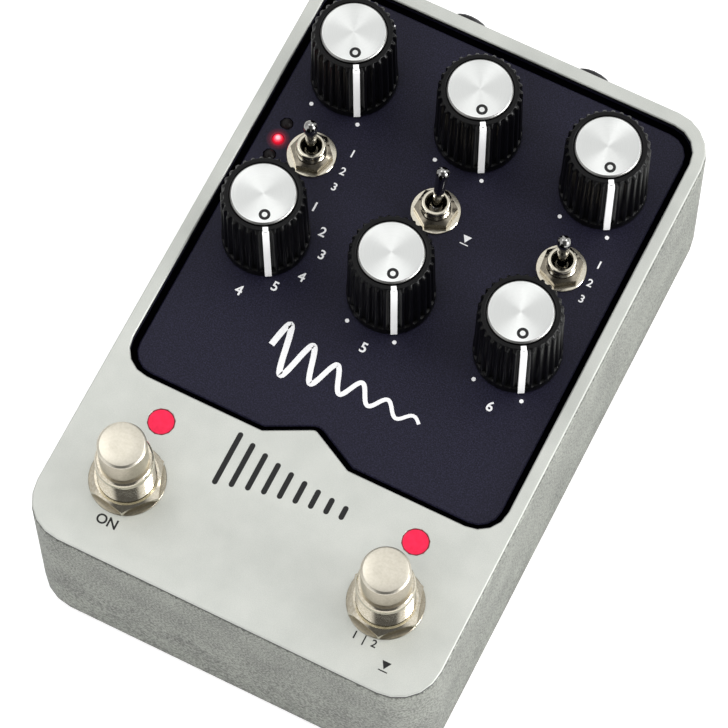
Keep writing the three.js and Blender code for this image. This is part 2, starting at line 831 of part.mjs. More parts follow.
// Each footswitch plunger slides in a round-shouldered bushing
function makeFootswitchBody() {
  const mouthZ = faceZ + footswitchBushingRise;
  const shoulderCentre = footswitchBushingRadius - footswitchShoulder;
  const bushing = turned([
    [0, deckBaseZ - ledgeThickness],
    [footswitchBushingRadius, deckBaseZ - ledgeThickness],
    ...arc(shoulderCentre, mouthZ - footswitchShoulder, footswitchShoulder, 0, Math.PI / 2),
    [0, mouthZ],
  ]);
  const boreFootZ = faceZ + plungerFootRise - plungerTravel - seatGap;
  const bore = disc(plungerRadius + runningGap, boreFootZ, mouthZ + cutOverrun);
  const box = block(footswitchSide, footswitchSide, deckBaseZ - footswitchDepth, deckBaseZ);
  return cut(join(box, bushing), bore);
}

function makePlunger() {
  return turned([
    [0, plungerFootRise],
    [plungerRadius, plungerFootRise],
    [plungerRadius, plungerRise - plungerChamfer],
    [plungerRadius - plungerChamfer, plungerRise],
    [0, plungerRise],
  ]);
}

const footswitchBody = makeFootswitchBody();
const plunger = makePlunger();
const footswitchNut = hexNut(
  2 * (footswitchBushingRadius + footswitchNutWall),
  footswitchNutHeight,
  footswitchBushingRadius + seatGap,
);
footswitchPlaces.forEach(([x, y], i) => {
  piece(`footswitch_body_${i + 1}`, footswitchBody, materials.nickel).position.set(x, y, 0);
  piece(`footswitch_plunger_${i + 1}`, plunger, materials.nickel).position.set(x, y, faceZ);
  const group = groupAt(x, y, faceZ);
  group.rotation.z = THREE.MathUtils.degToRad(footswitchNutTurns[i]);
  piece(`footswitch_nut_${i + 1}`, footswitchNut, materials.nickel, group);
});

// Status lenses lie flush in the plate, with a flange under the deck
const statusLamp = join(
  disc(statusLampRadius, deckBaseZ - statusLampFlange, faceZ - statusLampSink),
  disc(statusLampRadius + statusLampFlange, deckBaseZ - statusLampFlange, deckBaseZ),
);
statusLampPlaces.forEach(([x, y], i) => {
  piece(`status_lamp_${i + 1}`, statusLamp, materials.redLens).position.set(x, y, 0);
});

// Mode lamps stand on the control board and end in a low dome above the panel
const modeLamp = turned([
  [0, controlBoardTopZ],
  [modeLampRadius, controlBoardTopZ],
  ...arc(0, panelZ + modeLampRise - modeLampRadius, modeLampRadius, 0, Math.PI / 2),
]);
modeLampPlaces.forEach(([x, y], i) => {
  const lens = i === 1 ? materials.redLens : materials.darkLens;
  piece(`mode_lamp_${i + 1}`, modeLamp, lens).position.set(x, y, 0);
});

// Rear jacks are clamped to the wall by a nut outside it
function makeJack() {
  const body = block(jackSide, jackSide, -bodyWall - jackLength, -bodyWall);
  const nose = turned([
    [0, -bodyWall - cutOverrun],
    [jackNoseRadius, -bodyWall - cutOverrun],
    [jackNoseRadius, jackNoseProud - jackNoseChamfer],
    [jackNoseRadius - jackNoseChamfer, jackNoseProud],
    [0, jackNoseProud],
  ]);
  const bore = disc(jackBoreRadius, jackNoseProud - jackBoreDepth, jackNoseProud + cutOverrun);
  return cut(join(body, nose), bore);
}

const jack = makeJack();
const jackNut = hexNut(jackNutFlats, jackNutThickness, jackNoseRadius + seatGap).translate([
  0,
  0,
  bodyDraft,
]);
jackPlaces.forEach(([x, z], i) => {
  piece(`jack_${i + 1}`, alongRear(jack, x, z), materials.socketBlack);
  piece(`jack_nut_${i + 1}`, alongRear(jackNut, x, z), materials.socketBlack);
});

// The power and data sockets are drawn with their mouths just inside the rear face
function makePowerSocket() {
  const body = block(powerWidth, powerHeight, -bodyWall - powerLength, -bodyWall);
  const bore = disc(powerBoreRadius, -bodyWall - powerBoreDepth, cutOverrun);
  const pin = disc(powerPinRadius, -bodyWall - powerBoreDepth - cutOverrun, -bodyWall - powerPinSink);
  return join(cut(body, bore), pin);
}

function makeUsbSocket() {
  const backZ = -socketSink - usbDepth;
  const shell = prism(usbOutline(0), -socketSink - usbLength, -socketSink);
  const throat = prism(usbOutline(-usbShell), backZ, cutOverrun);
  const tongue = block(usbWidth - usbHeight, usbTongue, backZ - cutOverrun, -socketSink - usbTongue);
  return join(cut(shell, throat), tongue);
}

// The main board reaches under its rear sockets on a tongue between the corner bosses
function makeMainBoard() {
  const halfWidth = sideFaceX - bodyWall - mainBoardSideGap;
  const baseZ = mainBoardTopZ - boardThickness;
  const sinkZ = mainBoardTopZ - boardThickness / 2;
  const tongueRear = rearWallY - mainBoardSideGap;
  const plan = rectangleCorners(
    -halfWidth,
    mainBoardFront,
    halfWidth,
    mainBoardRear,
    boardCornerRadius,
  );
  const tonguePlan = rectangleCorners(
    -mainBoardTongueHalfWidth,
    mainBoardFront,
    mainBoardTongueHalfWidth,
    tongueRear,
    boardCornerRadius,
  );
  const pairSwitchFront = rearWallY - pairFlangeThickness - pairTravel - 2 * seatGap;
  const solderedFoot = (width, length, x, rear) =>
    block(width, length, sinkZ, mainBoardTopZ + usbShell).translate([x, rear - length / 2, 0]);
  const pairSwitch = block(
    pairSwitchSide,
    pairSwitchLength,
    sinkZ,
    mainBoardTopZ + pairSwitchSide,
  ).translate([pairColumn, pairSwitchFront - pairSwitchLength / 2, 0]);
  return join(
    prism(plan, baseZ, mainBoardTopZ),
    prism(tonguePlan, baseZ, mainBoardTopZ),
    alongRear(makePowerSocket(), 0, powerZ),
    solderedFoot(powerWidth, powerLength, 0, rearWallY),
    alongRear(makeUsbSocket(), usbColumn, usbZ),
    solderedFoot(usbWidth - usbHeight, usbLength - bodyWall, usbColumn, rearWallY - mainBoardSideGap),
    pairSwitch,
  );
}

piece("main_board", makeMainBoard(), materials.board);

// The pairing button is kept in by a flange behind the wall
const pairFlangeBack = -bodyWall - seatGap - pairFlangeThickness;
const pairButton = join(
  disc(pairRadius, pairFlangeBack, pairProud),
  disc(pairFlangeRadius, pairFlangeBack, -bodyWall - seatGap),
);
piece("pair_button", alongRear(pairButton, pairColumn, pairZ), materials.socketBlack);

export default pedal;
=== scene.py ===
import math

import bmesh
import bpy
from mathutils import Matrix, Vector


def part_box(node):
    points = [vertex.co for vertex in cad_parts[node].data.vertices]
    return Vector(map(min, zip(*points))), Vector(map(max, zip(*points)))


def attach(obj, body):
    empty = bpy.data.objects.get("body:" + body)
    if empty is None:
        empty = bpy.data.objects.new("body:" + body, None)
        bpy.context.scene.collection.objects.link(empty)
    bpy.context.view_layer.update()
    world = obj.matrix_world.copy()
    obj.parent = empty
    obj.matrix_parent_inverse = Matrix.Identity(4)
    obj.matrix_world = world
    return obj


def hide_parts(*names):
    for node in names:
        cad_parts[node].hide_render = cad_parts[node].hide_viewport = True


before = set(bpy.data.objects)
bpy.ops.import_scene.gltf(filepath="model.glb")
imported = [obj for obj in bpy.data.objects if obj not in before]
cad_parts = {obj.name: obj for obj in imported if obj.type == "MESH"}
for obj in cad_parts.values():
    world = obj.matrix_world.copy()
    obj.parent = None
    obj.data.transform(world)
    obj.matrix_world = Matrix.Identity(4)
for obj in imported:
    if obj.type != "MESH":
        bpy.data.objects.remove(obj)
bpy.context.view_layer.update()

# Sizes and places below are in millimetres, and become metres where a mesh or a material is made
MM = 0.001

# The plate's face in the part's frame: its height, and how far the box is from the frame's middle
FACE_Z = 44.5
PART_SHIFT = -2.0

# Heights above the plate's face, and places from the middle of the box
PANEL_Z = -1.7
DECK_BASE = -5.8
KNOB_BASE = -1.2
KNOB_TOP = 19.6
CAP_SEAT = 18.6
CAP_FACE = 20.085
CAP_TOP = 20.1
POINTER_TURN = -60.0
KNOB_PLACES = [(x, y) for y in (48.5, 7.6) for x in (-29.1, 0.0, 29.1)]
TOGGLE_PLACES = [(x, 28.45) for x in (-29.1, 0.0, 29.1)]
TOGGLE_NUT = -1.2
TOGGLE_MOUTH = 3.2
TOGGLE_NUT_TURN = 12.0
LEVER_TILTS = [0.0, -14.0, 0.0]
LEVER_PIVOT = 0.2
LEVER_TOP = 13.55
FOOTSWITCH_PLACES = [(-29.3, -53.5), (29.3, -53.5)]
FOOTSWITCH_NUT_TURNS = [50.0, 46.0]
FOOTSWITCH_MOUTH = 12.1
PLUNGER_FOOT = 2.0
PLUNGER_TOP = 19.75
STATUS_PLACES = [(-29.0, -39.4), (29.0, -39.4)]
MODE_LAMP_PLACES = [(-37.1, y) for y in (32.6, 28.6, 24.6)]
MODE_LAMP_RADIUS = 1.3
LIT_MODE_LAMP = 2
SCREW_PLACES = [(x, y) for x in (-39.4, 39.4) for y in (-64.85, 64.85)]

# Camera, solved from the photograph
CAMERA_AZIMUTH = 27.218
CAMERA_ELEVATION = 68.106
CAMERA_ROLL = -0.576
CAMERA_DISTANCE = 814.993
CAMERA_TARGET = (2.32, -9.529)
CAMERA_SENSOR = 36.0
CAMERA_LENS = 196.31


def place(x, y, rise=0.0):
    """A point of the plate's face, or rise above it, as a point of the part's frame in metres."""
    return Vector((x, y + PART_SHIFT, FACE_Z + rise)) * MM


def make_camera():
    azimuth, elevation = math.radians(CAMERA_AZIMUTH), math.radians(CAMERA_ELEVATION)
    roll = math.radians(CAMERA_ROLL)
    back = Vector((
        math.sin(azimuth) * math.cos(elevation),
        -math.cos(azimuth) * math.cos(elevation),
        math.sin(elevation),
    ))
    level = Vector((math.cos(azimuth), math.sin(azimuth), 0.0))
    upright = back.cross(level)
    right = math.cos(roll) * level + math.sin(roll) * upright
    up = back.cross(right)
    data = bpy.data.cameras.new("camera")
    data.sensor_width = CAMERA_SENSOR
    data.lens = CAMERA_LENS
    camera = bpy.data.objects.new("camera", data)
    camera.matrix_world = Matrix((
        (right.x, up.x, back.x, 0.0),
        (right.y, up.y, back.y, 0.0),
        (right.z, up.z, back.z, 0.0),
        (0.0, 0.0, 0.0, 1.0),
    ))
    camera.location = place(*CAMERA_TARGET) + back * CAMERA_DISTANCE * MM
    bpy.context.scene.collection.objects.link(camera)
    bpy.context.scene.camera = camera


make_camera()
bpy.context.scene.view_settings.view_transform = "Standard"


# Materials
NOISE_DETAIL = 2.0
# The colour inputs and the colour output of a Mix node
MIX_COLOURS = (6, 7)
MIX_RESULT = 2


def srgb(code):
    """A linear colour from a #rrggbb code."""
    parts = [int(code[i:i + 2], 16) / 255 for i in (1, 3, 5)]
    return tuple(c / 12.92 if c <= 0.04045 else ((c + 0.055) / 1.055) ** 2.4 for c in parts) + (1.0,)


class Finish:
    """A node material on one Principled shader, whose colour, roughness and relief are made by nodes."""

    def __init__(self, name, **sockets):
        self.name = name
        self.material = bpy.data.materials.new(name)
        self.material.use_nodes = True
        self.tree = self.material.node_tree
        self.shader = self.tree.nodes["Principled BSDF"]
        for socket, value in sockets.items():
            title = socket.replace("_", " ").title().replace("Ior", "IOR")
            self.shader.inputs[title].default_value = value
        self.point = self.node("ShaderNodeTexCoord").outputs["Object"]

    def node(self, kind, **values):
        made = self.tree.nodes.new(kind)
        for key, value in values.items():
            setattr(made, key, value)
        return made

    def link(self, source, target):
        self.tree.links.new(source, target)

    def noise(self, grain, detail=NOISE_DETAIL):
        """Noise whose features are about grain millimetres across."""
        made = self.node("ShaderNodeTexNoise")
        made.inputs["Scale"].default_value = 1 / (grain * MM)
        made.inputs["Detail"].default_value = detail
        self.link(self.point, made.inputs["Vector"])
        return made.outputs["Fac"]

    def ramp(self, factor, stops):
        """The colour of a factor between (position, #rrggbb) stops."""
        made = self.node("ShaderNodeValToRGB")
        elements = made.color_ramp.elements
        while len(elements) < len(stops):
            elements.new(0.5)
        for element, (position, code) in zip(elements, stops):
            element.position = position
            element.color = srgb(code)
        self.link(factor, made.inputs["Fac"])
        return made.outputs["Color"]

    def tones(self, factor, dark, light, low=0.3, high=0.7):
        """A colour that goes from dark to light as the factor goes from low to high."""
        return self.ramp(factor, [(low, dark), (high, light)])

    def mix(self, factor, first, second):
        """The first colour where the factor is nought, and the second where it is one."""
        made = self.node("ShaderNodeMix", data_type="RGBA")
        self.link(factor, made.inputs["Factor"])
        for colour, index in zip((first, second), MIX_COLOURS):
            if isinstance(colour, str):
                made.inputs[index].default_value = srgb(colour)
            else:
                self.link(colour, made.inputs[index])
        return made.outputs[MIX_RESULT]

    def maths(self, operation, first, second):
        made = self.node("ShaderNodeMath", operation=operation)
        self.link(first, made.inputs[0])
        if isinstance(second, float):
            made.inputs[1].default_value = second
        else:
            self.link(second, made.inputs[1])
        return made.outputs[0]

    def blend(self, first, second, share):
        """A share of the first factor with the rest of the second."""
        return self.maths("ADD", self.maths("MULTIPLY", first, share),
                          self.maths("MULTIPLY", second, 1 - share))

    def colour(self, output):
        self.link(output, self.shader.inputs["Base Color"])

    def rough(self, factor, low, high):
        made = self.node("ShaderNodeMapRange")
        made.inputs["To Min"].default_value = low
        made.inputs["To Max"].default_value = high
        self.link(factor, made.inputs["Value"])
        self.link(made.outputs["Result"], self.shader.inputs["Roughness"])

    def bump(self, height, depth):
        """Relief of depth millimetres."""
        made = self.node("ShaderNodeBump")
        made.inputs["Strength"].default_value = 1.0
        made.inputs["Distance"].default_value = depth * MM
        self.link(height, made.inputs["Height"])
        self.link(made.outputs["Normal"], self.shader.inputs["Normal"])

    def axis_share(self, low, high):
        """The distance from the piece's own upright axis, as a share between low and high."""
        flat = self.node("ShaderNodeMapping")
        flat.inputs["Scale"].default_value = (1.0, 1.0, 0.0)
        self.link(self.point, flat.inputs["Vector"])
        length = self.node("ShaderNodeVectorMath", operation="LENGTH")
        self.link(flat.outputs["Vector"], length.inputs[0])
        made = self.node("ShaderNodeMapRange")
        made.inputs["From Min"].default_value = low * MM
        made.inputs["From Max"].default_value = high * MM
        self.link(length.outputs["Value"], made.inputs["Value"])
        return made.outputs["Result"]

    def higher_than(self, height):
        """One above a height in the piece's own frame, and nought below it."""
        made = self.node("ShaderNodeSeparateXYZ")
        self.link(self.point, made.inputs[0])
        return self.maths("GREATER_THAN", made.outputs["Z"], height * MM)


# Finishes with a plain speckle: dark and light tone, grain, relief, roughness range, other sockets
METAL = {"metallic": 1.0}
SPECKLED = {
    "cast_housing": ("#5c5e59", "#aeb1a8", 0.48, 0.05, (0.42, 0.55), {"metallic": 0.3}),
    "cover_steel": ("#26272a", "#34363a", 0.4, 0.02, (0.45, 0.6), {"metallic": 0.2}),
    "foot_rubber": ("#141414", "#232323", 0.25, 0.02, (0.7, 0.85), {}),
    "knob_black": ("#030304", "#0a0a0b", 0.5, 0.004, (0.28, 0.4), {"specular_ior_level": 0.22}),
    "print_white": ("#f0f0f2", "#fcfcfd", 0.12, 0.002, (0.5, 0.6), {}),
    "print_black": ("#060607", "#101011", 0.12, 0.002, (0.5, 0.6), {}),
    # The pointer's white glows a little though it is no lamp: painted light that keeps its shaded side
    # white
    "pointer_white_glow": ("#f6f6f7", "#ffffff", 0.12, 0.002, (0.5, 0.6),
                      {"emission_color": (1.0, 1.0, 1.0, 1.0), "emission_strength": 0.15}),
    "lamp_rim": ("#6e1524", "#8a1c2e", 0.12, 0.002, (0.4, 0.5), {}),
    "footswitch_nickel": ("#d9d0bb", "#ebe4d2", 0.5, 0.001, (0.1, 0.17), METAL),
    "washer_nickel": ("#a29b8b", "#b5ae9d", 0.5, 0.001, (0.24, 0.32), METAL),
    "nut_nickel": ("#a1998a", "#b5ad9c", 0.4, 0.001, (0.12, 0.2), METAL),
    "toggle_nickel": ("#dcd5c2", "#ece6d6", 0.4, 0.001, (0.12, 0.2), METAL),
    "lever_chrome": ("#a3a2a0", "#bdbcba", 0.4, 0.001, (0.06, 0.12), METAL),
    "pot_shafts": ("#b9b6ac", "#cfccc3", 0.2, 0.003, (0.25, 0.35), METAL),
    "screw_steel": ("#2b2b2d", "#3b3b3e", 0.15, 0.003, (0.3, 0.4), {"metallic": 0.9}),
    "jack_black": ("#101012", "#1b1b1e", 0.4, 0.004, (0.35, 0.5), {}),
    "button_black": ("#141416", "#202023", 0.3, 0.004, (0.4, 0.5), {}),
}
SPECKLE_SHARE = 0.75
MOTTLE_GRAINS = 25
TONE_RANGE = (0.36, 0.64)


def speckled(name, dark, light, grain, depth, rough, sockets):
    """A finish with a fine two-tone speckle, slow mottling and a matching relief."""
    made = Finish(name, **sockets)
    speckle = made.noise(grain)
    mottle = made.noise(grain * MOTTLE_GRAINS)
    made.colour(made.tones(made.blend(speckle, mottle, SPECKLE_SHARE), dark, light, *TONE_RANGE))
    made.rough(mottle, *rough)
    made.bump(speckle, depth)
    return made


# Where a finish changes on its way down a piece
# Below the plate's shoulder its side gets painted shade
PLATE_SHOULDER = 0.34
# Below the panel's shoulder its moat gets painted shade
PANEL_SHOULDER = 0.25
# Above the button's shoulder its top gets painted light, and below it its side gets painted shade
BUTTON_SHOULDER = 0.5
CAP_RADIUS = 6.94
# Beyond this share of the radius the cap's rim gets painted shade
CAP_RIM_SHARE = 0.948
CAP_RING = 0.11
PANEL_GRAIN = 0.28
PANEL_DETAIL = 3.0


def satin_plate():
    """Satin silver face, with painted shade on its edge below it."""
    plate = Finish("satin_plate", metallic=0.45)
    grain = plate.noise(0.16)
    mottle = plate.noise(7.0)
    face = plate.tones(plate.blend(grain, mottle, 0.6), "#c6c9c3", "#d6d8d2", *TONE_RANGE)
    # Below the shoulder the plate's side is painted near black: painted shade along the seam
    plate.colour(plate.mix(plate.higher_than(FACE_Z - PLATE_SHOULDER), "#1d1d1d", face))
    plate.rough(mottle, 0.36, 0.46)
    plate.bump(grain, 0.003)
    return plate


def panel_black():
    """Blue-black panel, with painted shade in the moat round it: near black and without gloss."""
    panel = Finish("panel_black")
    grain = panel.noise(PANEL_GRAIN, PANEL_DETAIL)
    face = panel.ramp(grain, [(0.32, "#11101d"), (0.5, "#1c1b2b"), (0.68, "#29283c")])
    # Below the panel's face the moat is painted near black and loses its gloss: painted shade in the
    # groove
    above = panel.higher_than(FACE_Z + PANEL_Z - PANEL_SHOULDER)
    panel.colour(panel.mix(above, "#030304", face))
    panel.link(panel.maths("MULTIPLY", above, 0.2), panel.shader.inputs["Specular IOR Level"])
    panel.rough(grain, 0.38, 0.55)
    panel.bump(grain, 0.02)
    return panel


def spun_caps():
    """Bright metal turned on a lathe, with fine rings and painted shade on its rim."""
    caps = Finish("spun_caps", metallic=1.0, anisotropic=0.85)
    tangent = caps.node("ShaderNodeTangent", direction_type="RADIAL", axis="Z")
    caps.link(tangent.outputs["Tangent"], caps.shader.inputs["Tangent"])
    share = caps.axis_share(0.0, CAP_RADIUS)
    rings = caps.node("ShaderNodeTexNoise", noise_dimensions="1D")
    rings.inputs["Scale"].default_value = CAP_RADIUS / CAP_RING
    rings.inputs["Detail"].default_value = NOISE_DETAIL
    caps.link(share, rings.inputs["W"])
    face = caps.tones(rings.outputs["Fac"], "#eceeec", "#f6f8f6")
    # Beyond the rim share the cap is painted grey: painted shade on its rounded rim
    caps.colour(caps.mix(caps.maths("GREATER_THAN", share, CAP_RIM_SHARE), face, "#a2a2a0"))
    caps.rough(rings.outputs["Fac"], 0.26, 0.34)
    caps.bump(rings.outputs["Fac"], 0.003)
    return caps


def button_nickel():
    """Warm nickel, painted lighter on top than on the side: painted light on the top and painted shade
    on the side.
    """
    button = Finish("button_nickel", metallic=1.0)
    cloud = button.noise(0.5)
    side = button.tones(cloud, "#b9b1a0", "#c8c0af")
    top = button.tones(cloud, "#e0dac9", "#ece6d7")
    # The top's lighter tones are painted light, and the side's darker tones are painted shade
    button.colour(button.mix(button.higher_than(PLUNGER_TOP - BUTTON_SHOULDER), side, top))
    button.rough(cloud, 0.3, 0.38)
    return button


def status_lens():
    """Frosted red lens with a weak glow."""
    status = Finish("status_lens", specular_ior_level=0.25, emission_strength=0.2)
    cloud = status.noise(1.2)
    tone = status.tones(cloud, "#e41c45", "#ee2650")
    status.colour(tone)
    status.link(tone, status.shader.inputs["Emission Color"])
    status.rough(cloud, 0.3, 0.4)
    return status


def lit_lens():
    """Red lens with a bright core."""
    lit = Finish("lit_lens", specular_ior_level=0.3, emission_strength=0.62)
    tone = lit.ramp(lit.axis_share(0.0, MODE_LAMP_RADIUS), [
        (0.25, "#ffb4bc"), (0.5, "#ff5a6e"), (0.75, "#e81c36"), (1.0, "#b00f24")])
    lit.colour(tone)
    lit.link(tone, lit.shader.inputs["Emission Color"])
    lit.rough(lit.noise(0.9, 1.0), 0.2, 0.3)
    return lit


def dark_lens():
    """Smoky lens of a lamp that is off."""
    dark = Finish("dark_lens", specular_ior_level=0.2)
    cloud = dark.noise(0.8)
    dark.colour(dark.tones(cloud, "#141213", "#201c1d"))
    dark.rough(cloud, 0.4, 0.5)
    return dark


def lit_halo():
    """The panel's own black with a red glow that fades outwards."""
    halo = Finish("lit_halo", specular_ior_level=0.2, emission_strength=1.0)
    grain = halo.noise(PANEL_GRAIN, PANEL_DETAIL)
    halo.colour(halo.tones(grain, "#100f1b", "#27263a", 0.32, 0.68))
    glow = halo.ramp(halo.axis_share(1.2, 2.6), [(0.0, "#a01024"), (0.4, "#4a0810"), (1.0, "#000000")])
    halo.link(glow, halo.shader.inputs["Emission Color"])
    halo.rough(grain, 0.38, 0.55)
    return halo


BOARD_THICKNESS = 1.6
BOARD_CLEAR = 0.05
BOARD_PATTERN = 12.0


def board_green(node, dark, light):
    """Green solder mask, and a colour of their own for the parts that stand on the board."""
    board = Finish(f"{node}_green", coat_weight=0.3, coat_roughness=0.2)
    traces = board.node("ShaderNodeTexBrick")
    traces.inputs["Scale"].default_value = 1 / (BOARD_PATTERN * MM)
    traces.inputs["Mortar Size"].default_value = 0.012
    for socket, code in (("Color1", "#0e4a30"), ("Color2", "#11553a"), ("Mortar", "#1c6e4c")):
        traces.inputs[socket].default_value = srgb(code)
    board.link(board.point, traces.inputs["Vector"])
    cloud = board.noise(0.5)
    parts = board.tones(cloud, dark, light)
    board_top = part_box(node)[0][2] / MM + BOARD_THICKNESS
    board.colour(board.mix(board.higher_than(board_top + BOARD_CLEAR), traces.outputs["Color"], parts))
    board.rough(cloud, 0.3, 0.45)
    board.bump(traces.outputs["Fac"], 0.03)
    return board


def make_finishes():
    made = [speckled(name, *values) for name, values in SPECKLED.items()]
    made += [satin_plate(), panel_black(), spun_caps(), button_nickel()]
    made += [status_lens(), lit_lens(), dark_lens(), lit_halo()]
    made.append(board_green("main_board", "#0d0d0e", "#18181a"))
    made.append(board_green("control_board", "#7c7d80", "#94959a"))
    return {finish.name: finish.material for finish in made}


finishes = make_finishes()


# Mesh makers, in millimetres
PIECE_SHARP = 32.0
PIECE_ROUND_STEPS = 3
NODE_ROUND_STEPS = 2
ROUND_ANGLE = 30.0


def make_piece(name, shape, finish, body, origin, turn=(0.0, 0.0, 0.0), sharp=PIECE_SHARP,
               bevel=0.0, replaces=()):
    """One mesh piece from (vertices, faces), whose points lie round origin, a place in metres.
    It turns by degrees about x, y and z."""
    verts, faces = shape
    mesh = bpy.data.meshes.new(name)
    mesh.from_pydata([tuple(c * MM for c in v) for v in verts], [], faces)
    solid = bmesh.new()
    solid.from_mesh(mesh)
    bmesh.ops.recalc_face_normals(solid, faces=solid.faces)
    solid.to_mesh(mesh)
    solid.free()
    mesh.shade_smooth()
    mesh.set_sharp_from_angle(angle=math.radians(sharp))
    made = bpy.data.objects.new(name, mesh)
    made.location = origin
    made.rotation_euler = [math.radians(angle) for angle in turn]
    bpy.context.scene.collection.objects.link(made)
    made.data.materials.append(finishes[finish])
    if bevel:
        add_bevel(made, bevel, PIECE_ROUND_STEPS)
    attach(made, body)
    if replaces:
        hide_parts(*replaces)


def add_bevel(made, width, segments):
    edge = made.modifiers.new("edge_round", "BEVEL")
    edge.width = width * MM
    edge.segments = segments
    edge.limit_method = "ANGLE"
    edge.angle_limit = math.radians(ROUND_ANGLE)
    edge.harden_normals = True


def circle(radius, steps, x=0.0, y=0.0):
    """The points of a circle, anticlockwise from +X."""
    angles = [2 * math.pi * i / steps for i in range(steps)]
    return [(x + radius * math.cos(a), y + radius * math.sin(a)) for a in angles]


def turned(profile, steps=96, closed=False, radius_at=None):
    """A solid of revolution from (radius, height) points, upwards on the outside.
    Where a point has a third value, its groove depth, radius_at(radius, depth, share) says the
    fluted radius at a share of the way round."""
    verts, faces, rings = [], [], []
    for radius, height, *depth in profile:
        start = len(verts)
        if radius == 0:
            verts.append((0.0, 0.0, height))
            rings.append([start])
            continue
        for i in range(steps):
            angle = 2 * math.pi * i / steps
            r = radius_at(radius, depth[0], i / steps) if depth else radius
            verts.append((r * math.cos(angle), r * math.sin(angle), height))
        rings.append(list(range(start, start + steps)))
    for low, high in zip(rings, rings[1:] + (rings[:1] if closed else [])):
        for i in range(steps):
            j = (i + 1) % steps
            if len(low) == 1:
                faces.append((low[0], high[j], high[i]))
            elif len(high) == 1:
                faces.append((low[i], low[j], high[0]))
            else:
                faces.append((low[i], low[j], high[j], high[i]))
    return verts, faces


def side_faces(count):
    """The side faces between two loops of count vertices, one after the other."""
    return [(i, (i + 1) % count, count + (i + 1) % count, count + i) for i in range(count)]


def prism(outline, bottom, top):
    """An upright prism on a closed outline of (x, y) points."""
    count = len(outline)
    verts = [(x, y, z) for z in (bottom, top) for x, y in outline]
    faces = [tuple(reversed(range(count))), tuple(range(count, 2 * count))]
    return verts, faces + side_faces(count)


def merged(shapes):
    """Several shapes as one."""
    verts, faces = [], []
    for shape_verts, shape_faces in shapes:
        start = len(verts)
        verts += shape_verts
        faces += [tuple(start + i for i in face) for face in shape_faces]
    return verts, faces


def moved(shape, x, y):
    verts, faces = shape
    return [(x + a, y + b, c) for a, b, c in verts], faces


# CAD nodes, with their finishes
NODE_FINISHES = {
    "housing": "cast_housing",
    "top_plate": "satin_plate",
    "control_panel": "panel_black",
    "bottom_cover": "cover_steel",
    "foot": "foot_rubber",
    "knob": "knob_black",
    "knob_cap": "spun_caps",
    "pot_shaft": "pot_shafts",
    "control_board": "control_board_green",
    "toggle_body": "toggle_nickel",
    "toggle_washer": "toggle_nickel",
    "toggle_nut": "toggle_nickel",
    "toggle_lever": "lever_chrome",
    "footswitch_body": "footswitch_nickel",
    "footswitch_nut": "footswitch_nickel",
    "footswitch_plunger": "button_nickel",
    "status_lamp": "status_lens",
    "mode_lamp": "dark_lens",
    "jack": "jack_black",
    "jack_nut": "jack_black",
    "main_board": "main_board_green",
    "pair_button": "button_black",
}
EDGE_ROUNDS = {
    "housing": 0.3, "top_plate": 0.12, "control_panel": 0.25, "bottom_cover": 0.15, "foot": 0.2,
}
EDGE_ROUND = 0.1
WELD_REACH = 0.001
FLAT_ANGLE = 0.5


def smoothing_group():
    """Joins the loose triangles of a CAD mesh and shades them as one surface."""
    group = bpy.data.node_groups.new("joined_surface", "GeometryNodeTree")
    group.interface.new_socket("Geometry", in_out="INPUT", socket_type="NodeSocketGeometry")
    group.interface.new_socket("Geometry", in_out="OUTPUT", socket_type="NodeSocketGeometry")
    source = group.nodes.new("NodeGroupInput")
    target = group.nodes.new("NodeGroupOutput")
    weld = group.nodes.new("GeometryNodeMergeByDistance")
    weld.inputs["Distance"].default_value = WELD_REACH * MM
    smooth = group.nodes.new("GeometryNodeSetShadeSmooth")
    group.links.new(source.outputs[0], weld.inputs["Geometry"])
    group.links.new(weld.outputs["Geometry"], smooth.inputs["Geometry"])
    group.links.new(smooth.outputs["Geometry"], target.inputs[0])
    return group


def dress_nodes():
    """Gives every CAD node its finish, and rounds its edges a little."""
    group = smoothing_group()
    for name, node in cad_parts.items():
        family = name.rstrip("0123456789").rstrip("_")
        lit = name == f"mode_lamp_{LIT_MODE_LAMP}"
        node.data.materials.clear()
        node.data.materials.append(finishes["lit_lens" if lit else NODE_FINISHES[family]])
        joined = node.modifiers.new("joined_surface", "NODES")
        joined.node_group = group
        flat = node.modifiers.new("flat_faces", "DECIMATE")
        flat.decimate_type = "DISSOLVE"
        flat.angle_limit = math.radians(FLAT_ANGLE)
        add_bevel(node, EDGE_ROUNDS.get(family, EDGE_ROUND), NODE_ROUND_STEPS)
        weighted = node.modifiers.new("weighted_normals", "WEIGHTED_NORMAL")
        weighted.keep_sharp = True


dress_nodes()


# Knobs, whose profile points are (radius, height) or (radius, height, groove depth)
FLUTES = 30
FLUTE_STEPS = 12
RIDGE_SHARE = 0.2
VALLEY_SHARE = 0.8
KNOB_PROFILE = [
    (0, 11.0), (3.18, 11.0), (3.18, 2.4), (5.5, 2.4), (5.5, KNOB_BASE), (9.2, KNOB_BASE), (9.3, -1.1),
    (9.3, 0.7), (9.27, 0.86, 0.05), (9.21, 0.96, 0.3), (9.2, 1.0, 0.7), (9.08, 7.0, 0.7),
    (8.96, 12.8, 0.7), (8.87, 18.4, 0.7), (8.83, 18.7, 0.7), (8.73, 18.92, 0.64),
    (8.52, 19.16, 0.46), (8.32, 19.36, 0.24), (8.15, 19.52, 0.06), (8.02, 19.59), (7.9, KNOB_TOP),
    (7.3, KNOB_TOP), (7.16, 19.54), (7.12, 19.4), (7.12, CAP_SEAT), (0, CAP_SEAT),
]
CAP_PROFILE = [
    (0, CAP_SEAT), (CAP_RADIUS, CAP_SEAT), (CAP_RADIUS, 19.68), (6.9, 19.76), (6.64, 20.04),
    (6.56, 20.08), (6.48, CAP_FACE), (5.0, CAP_FACE), (2.5, CAP_FACE), (0, CAP_FACE),
]
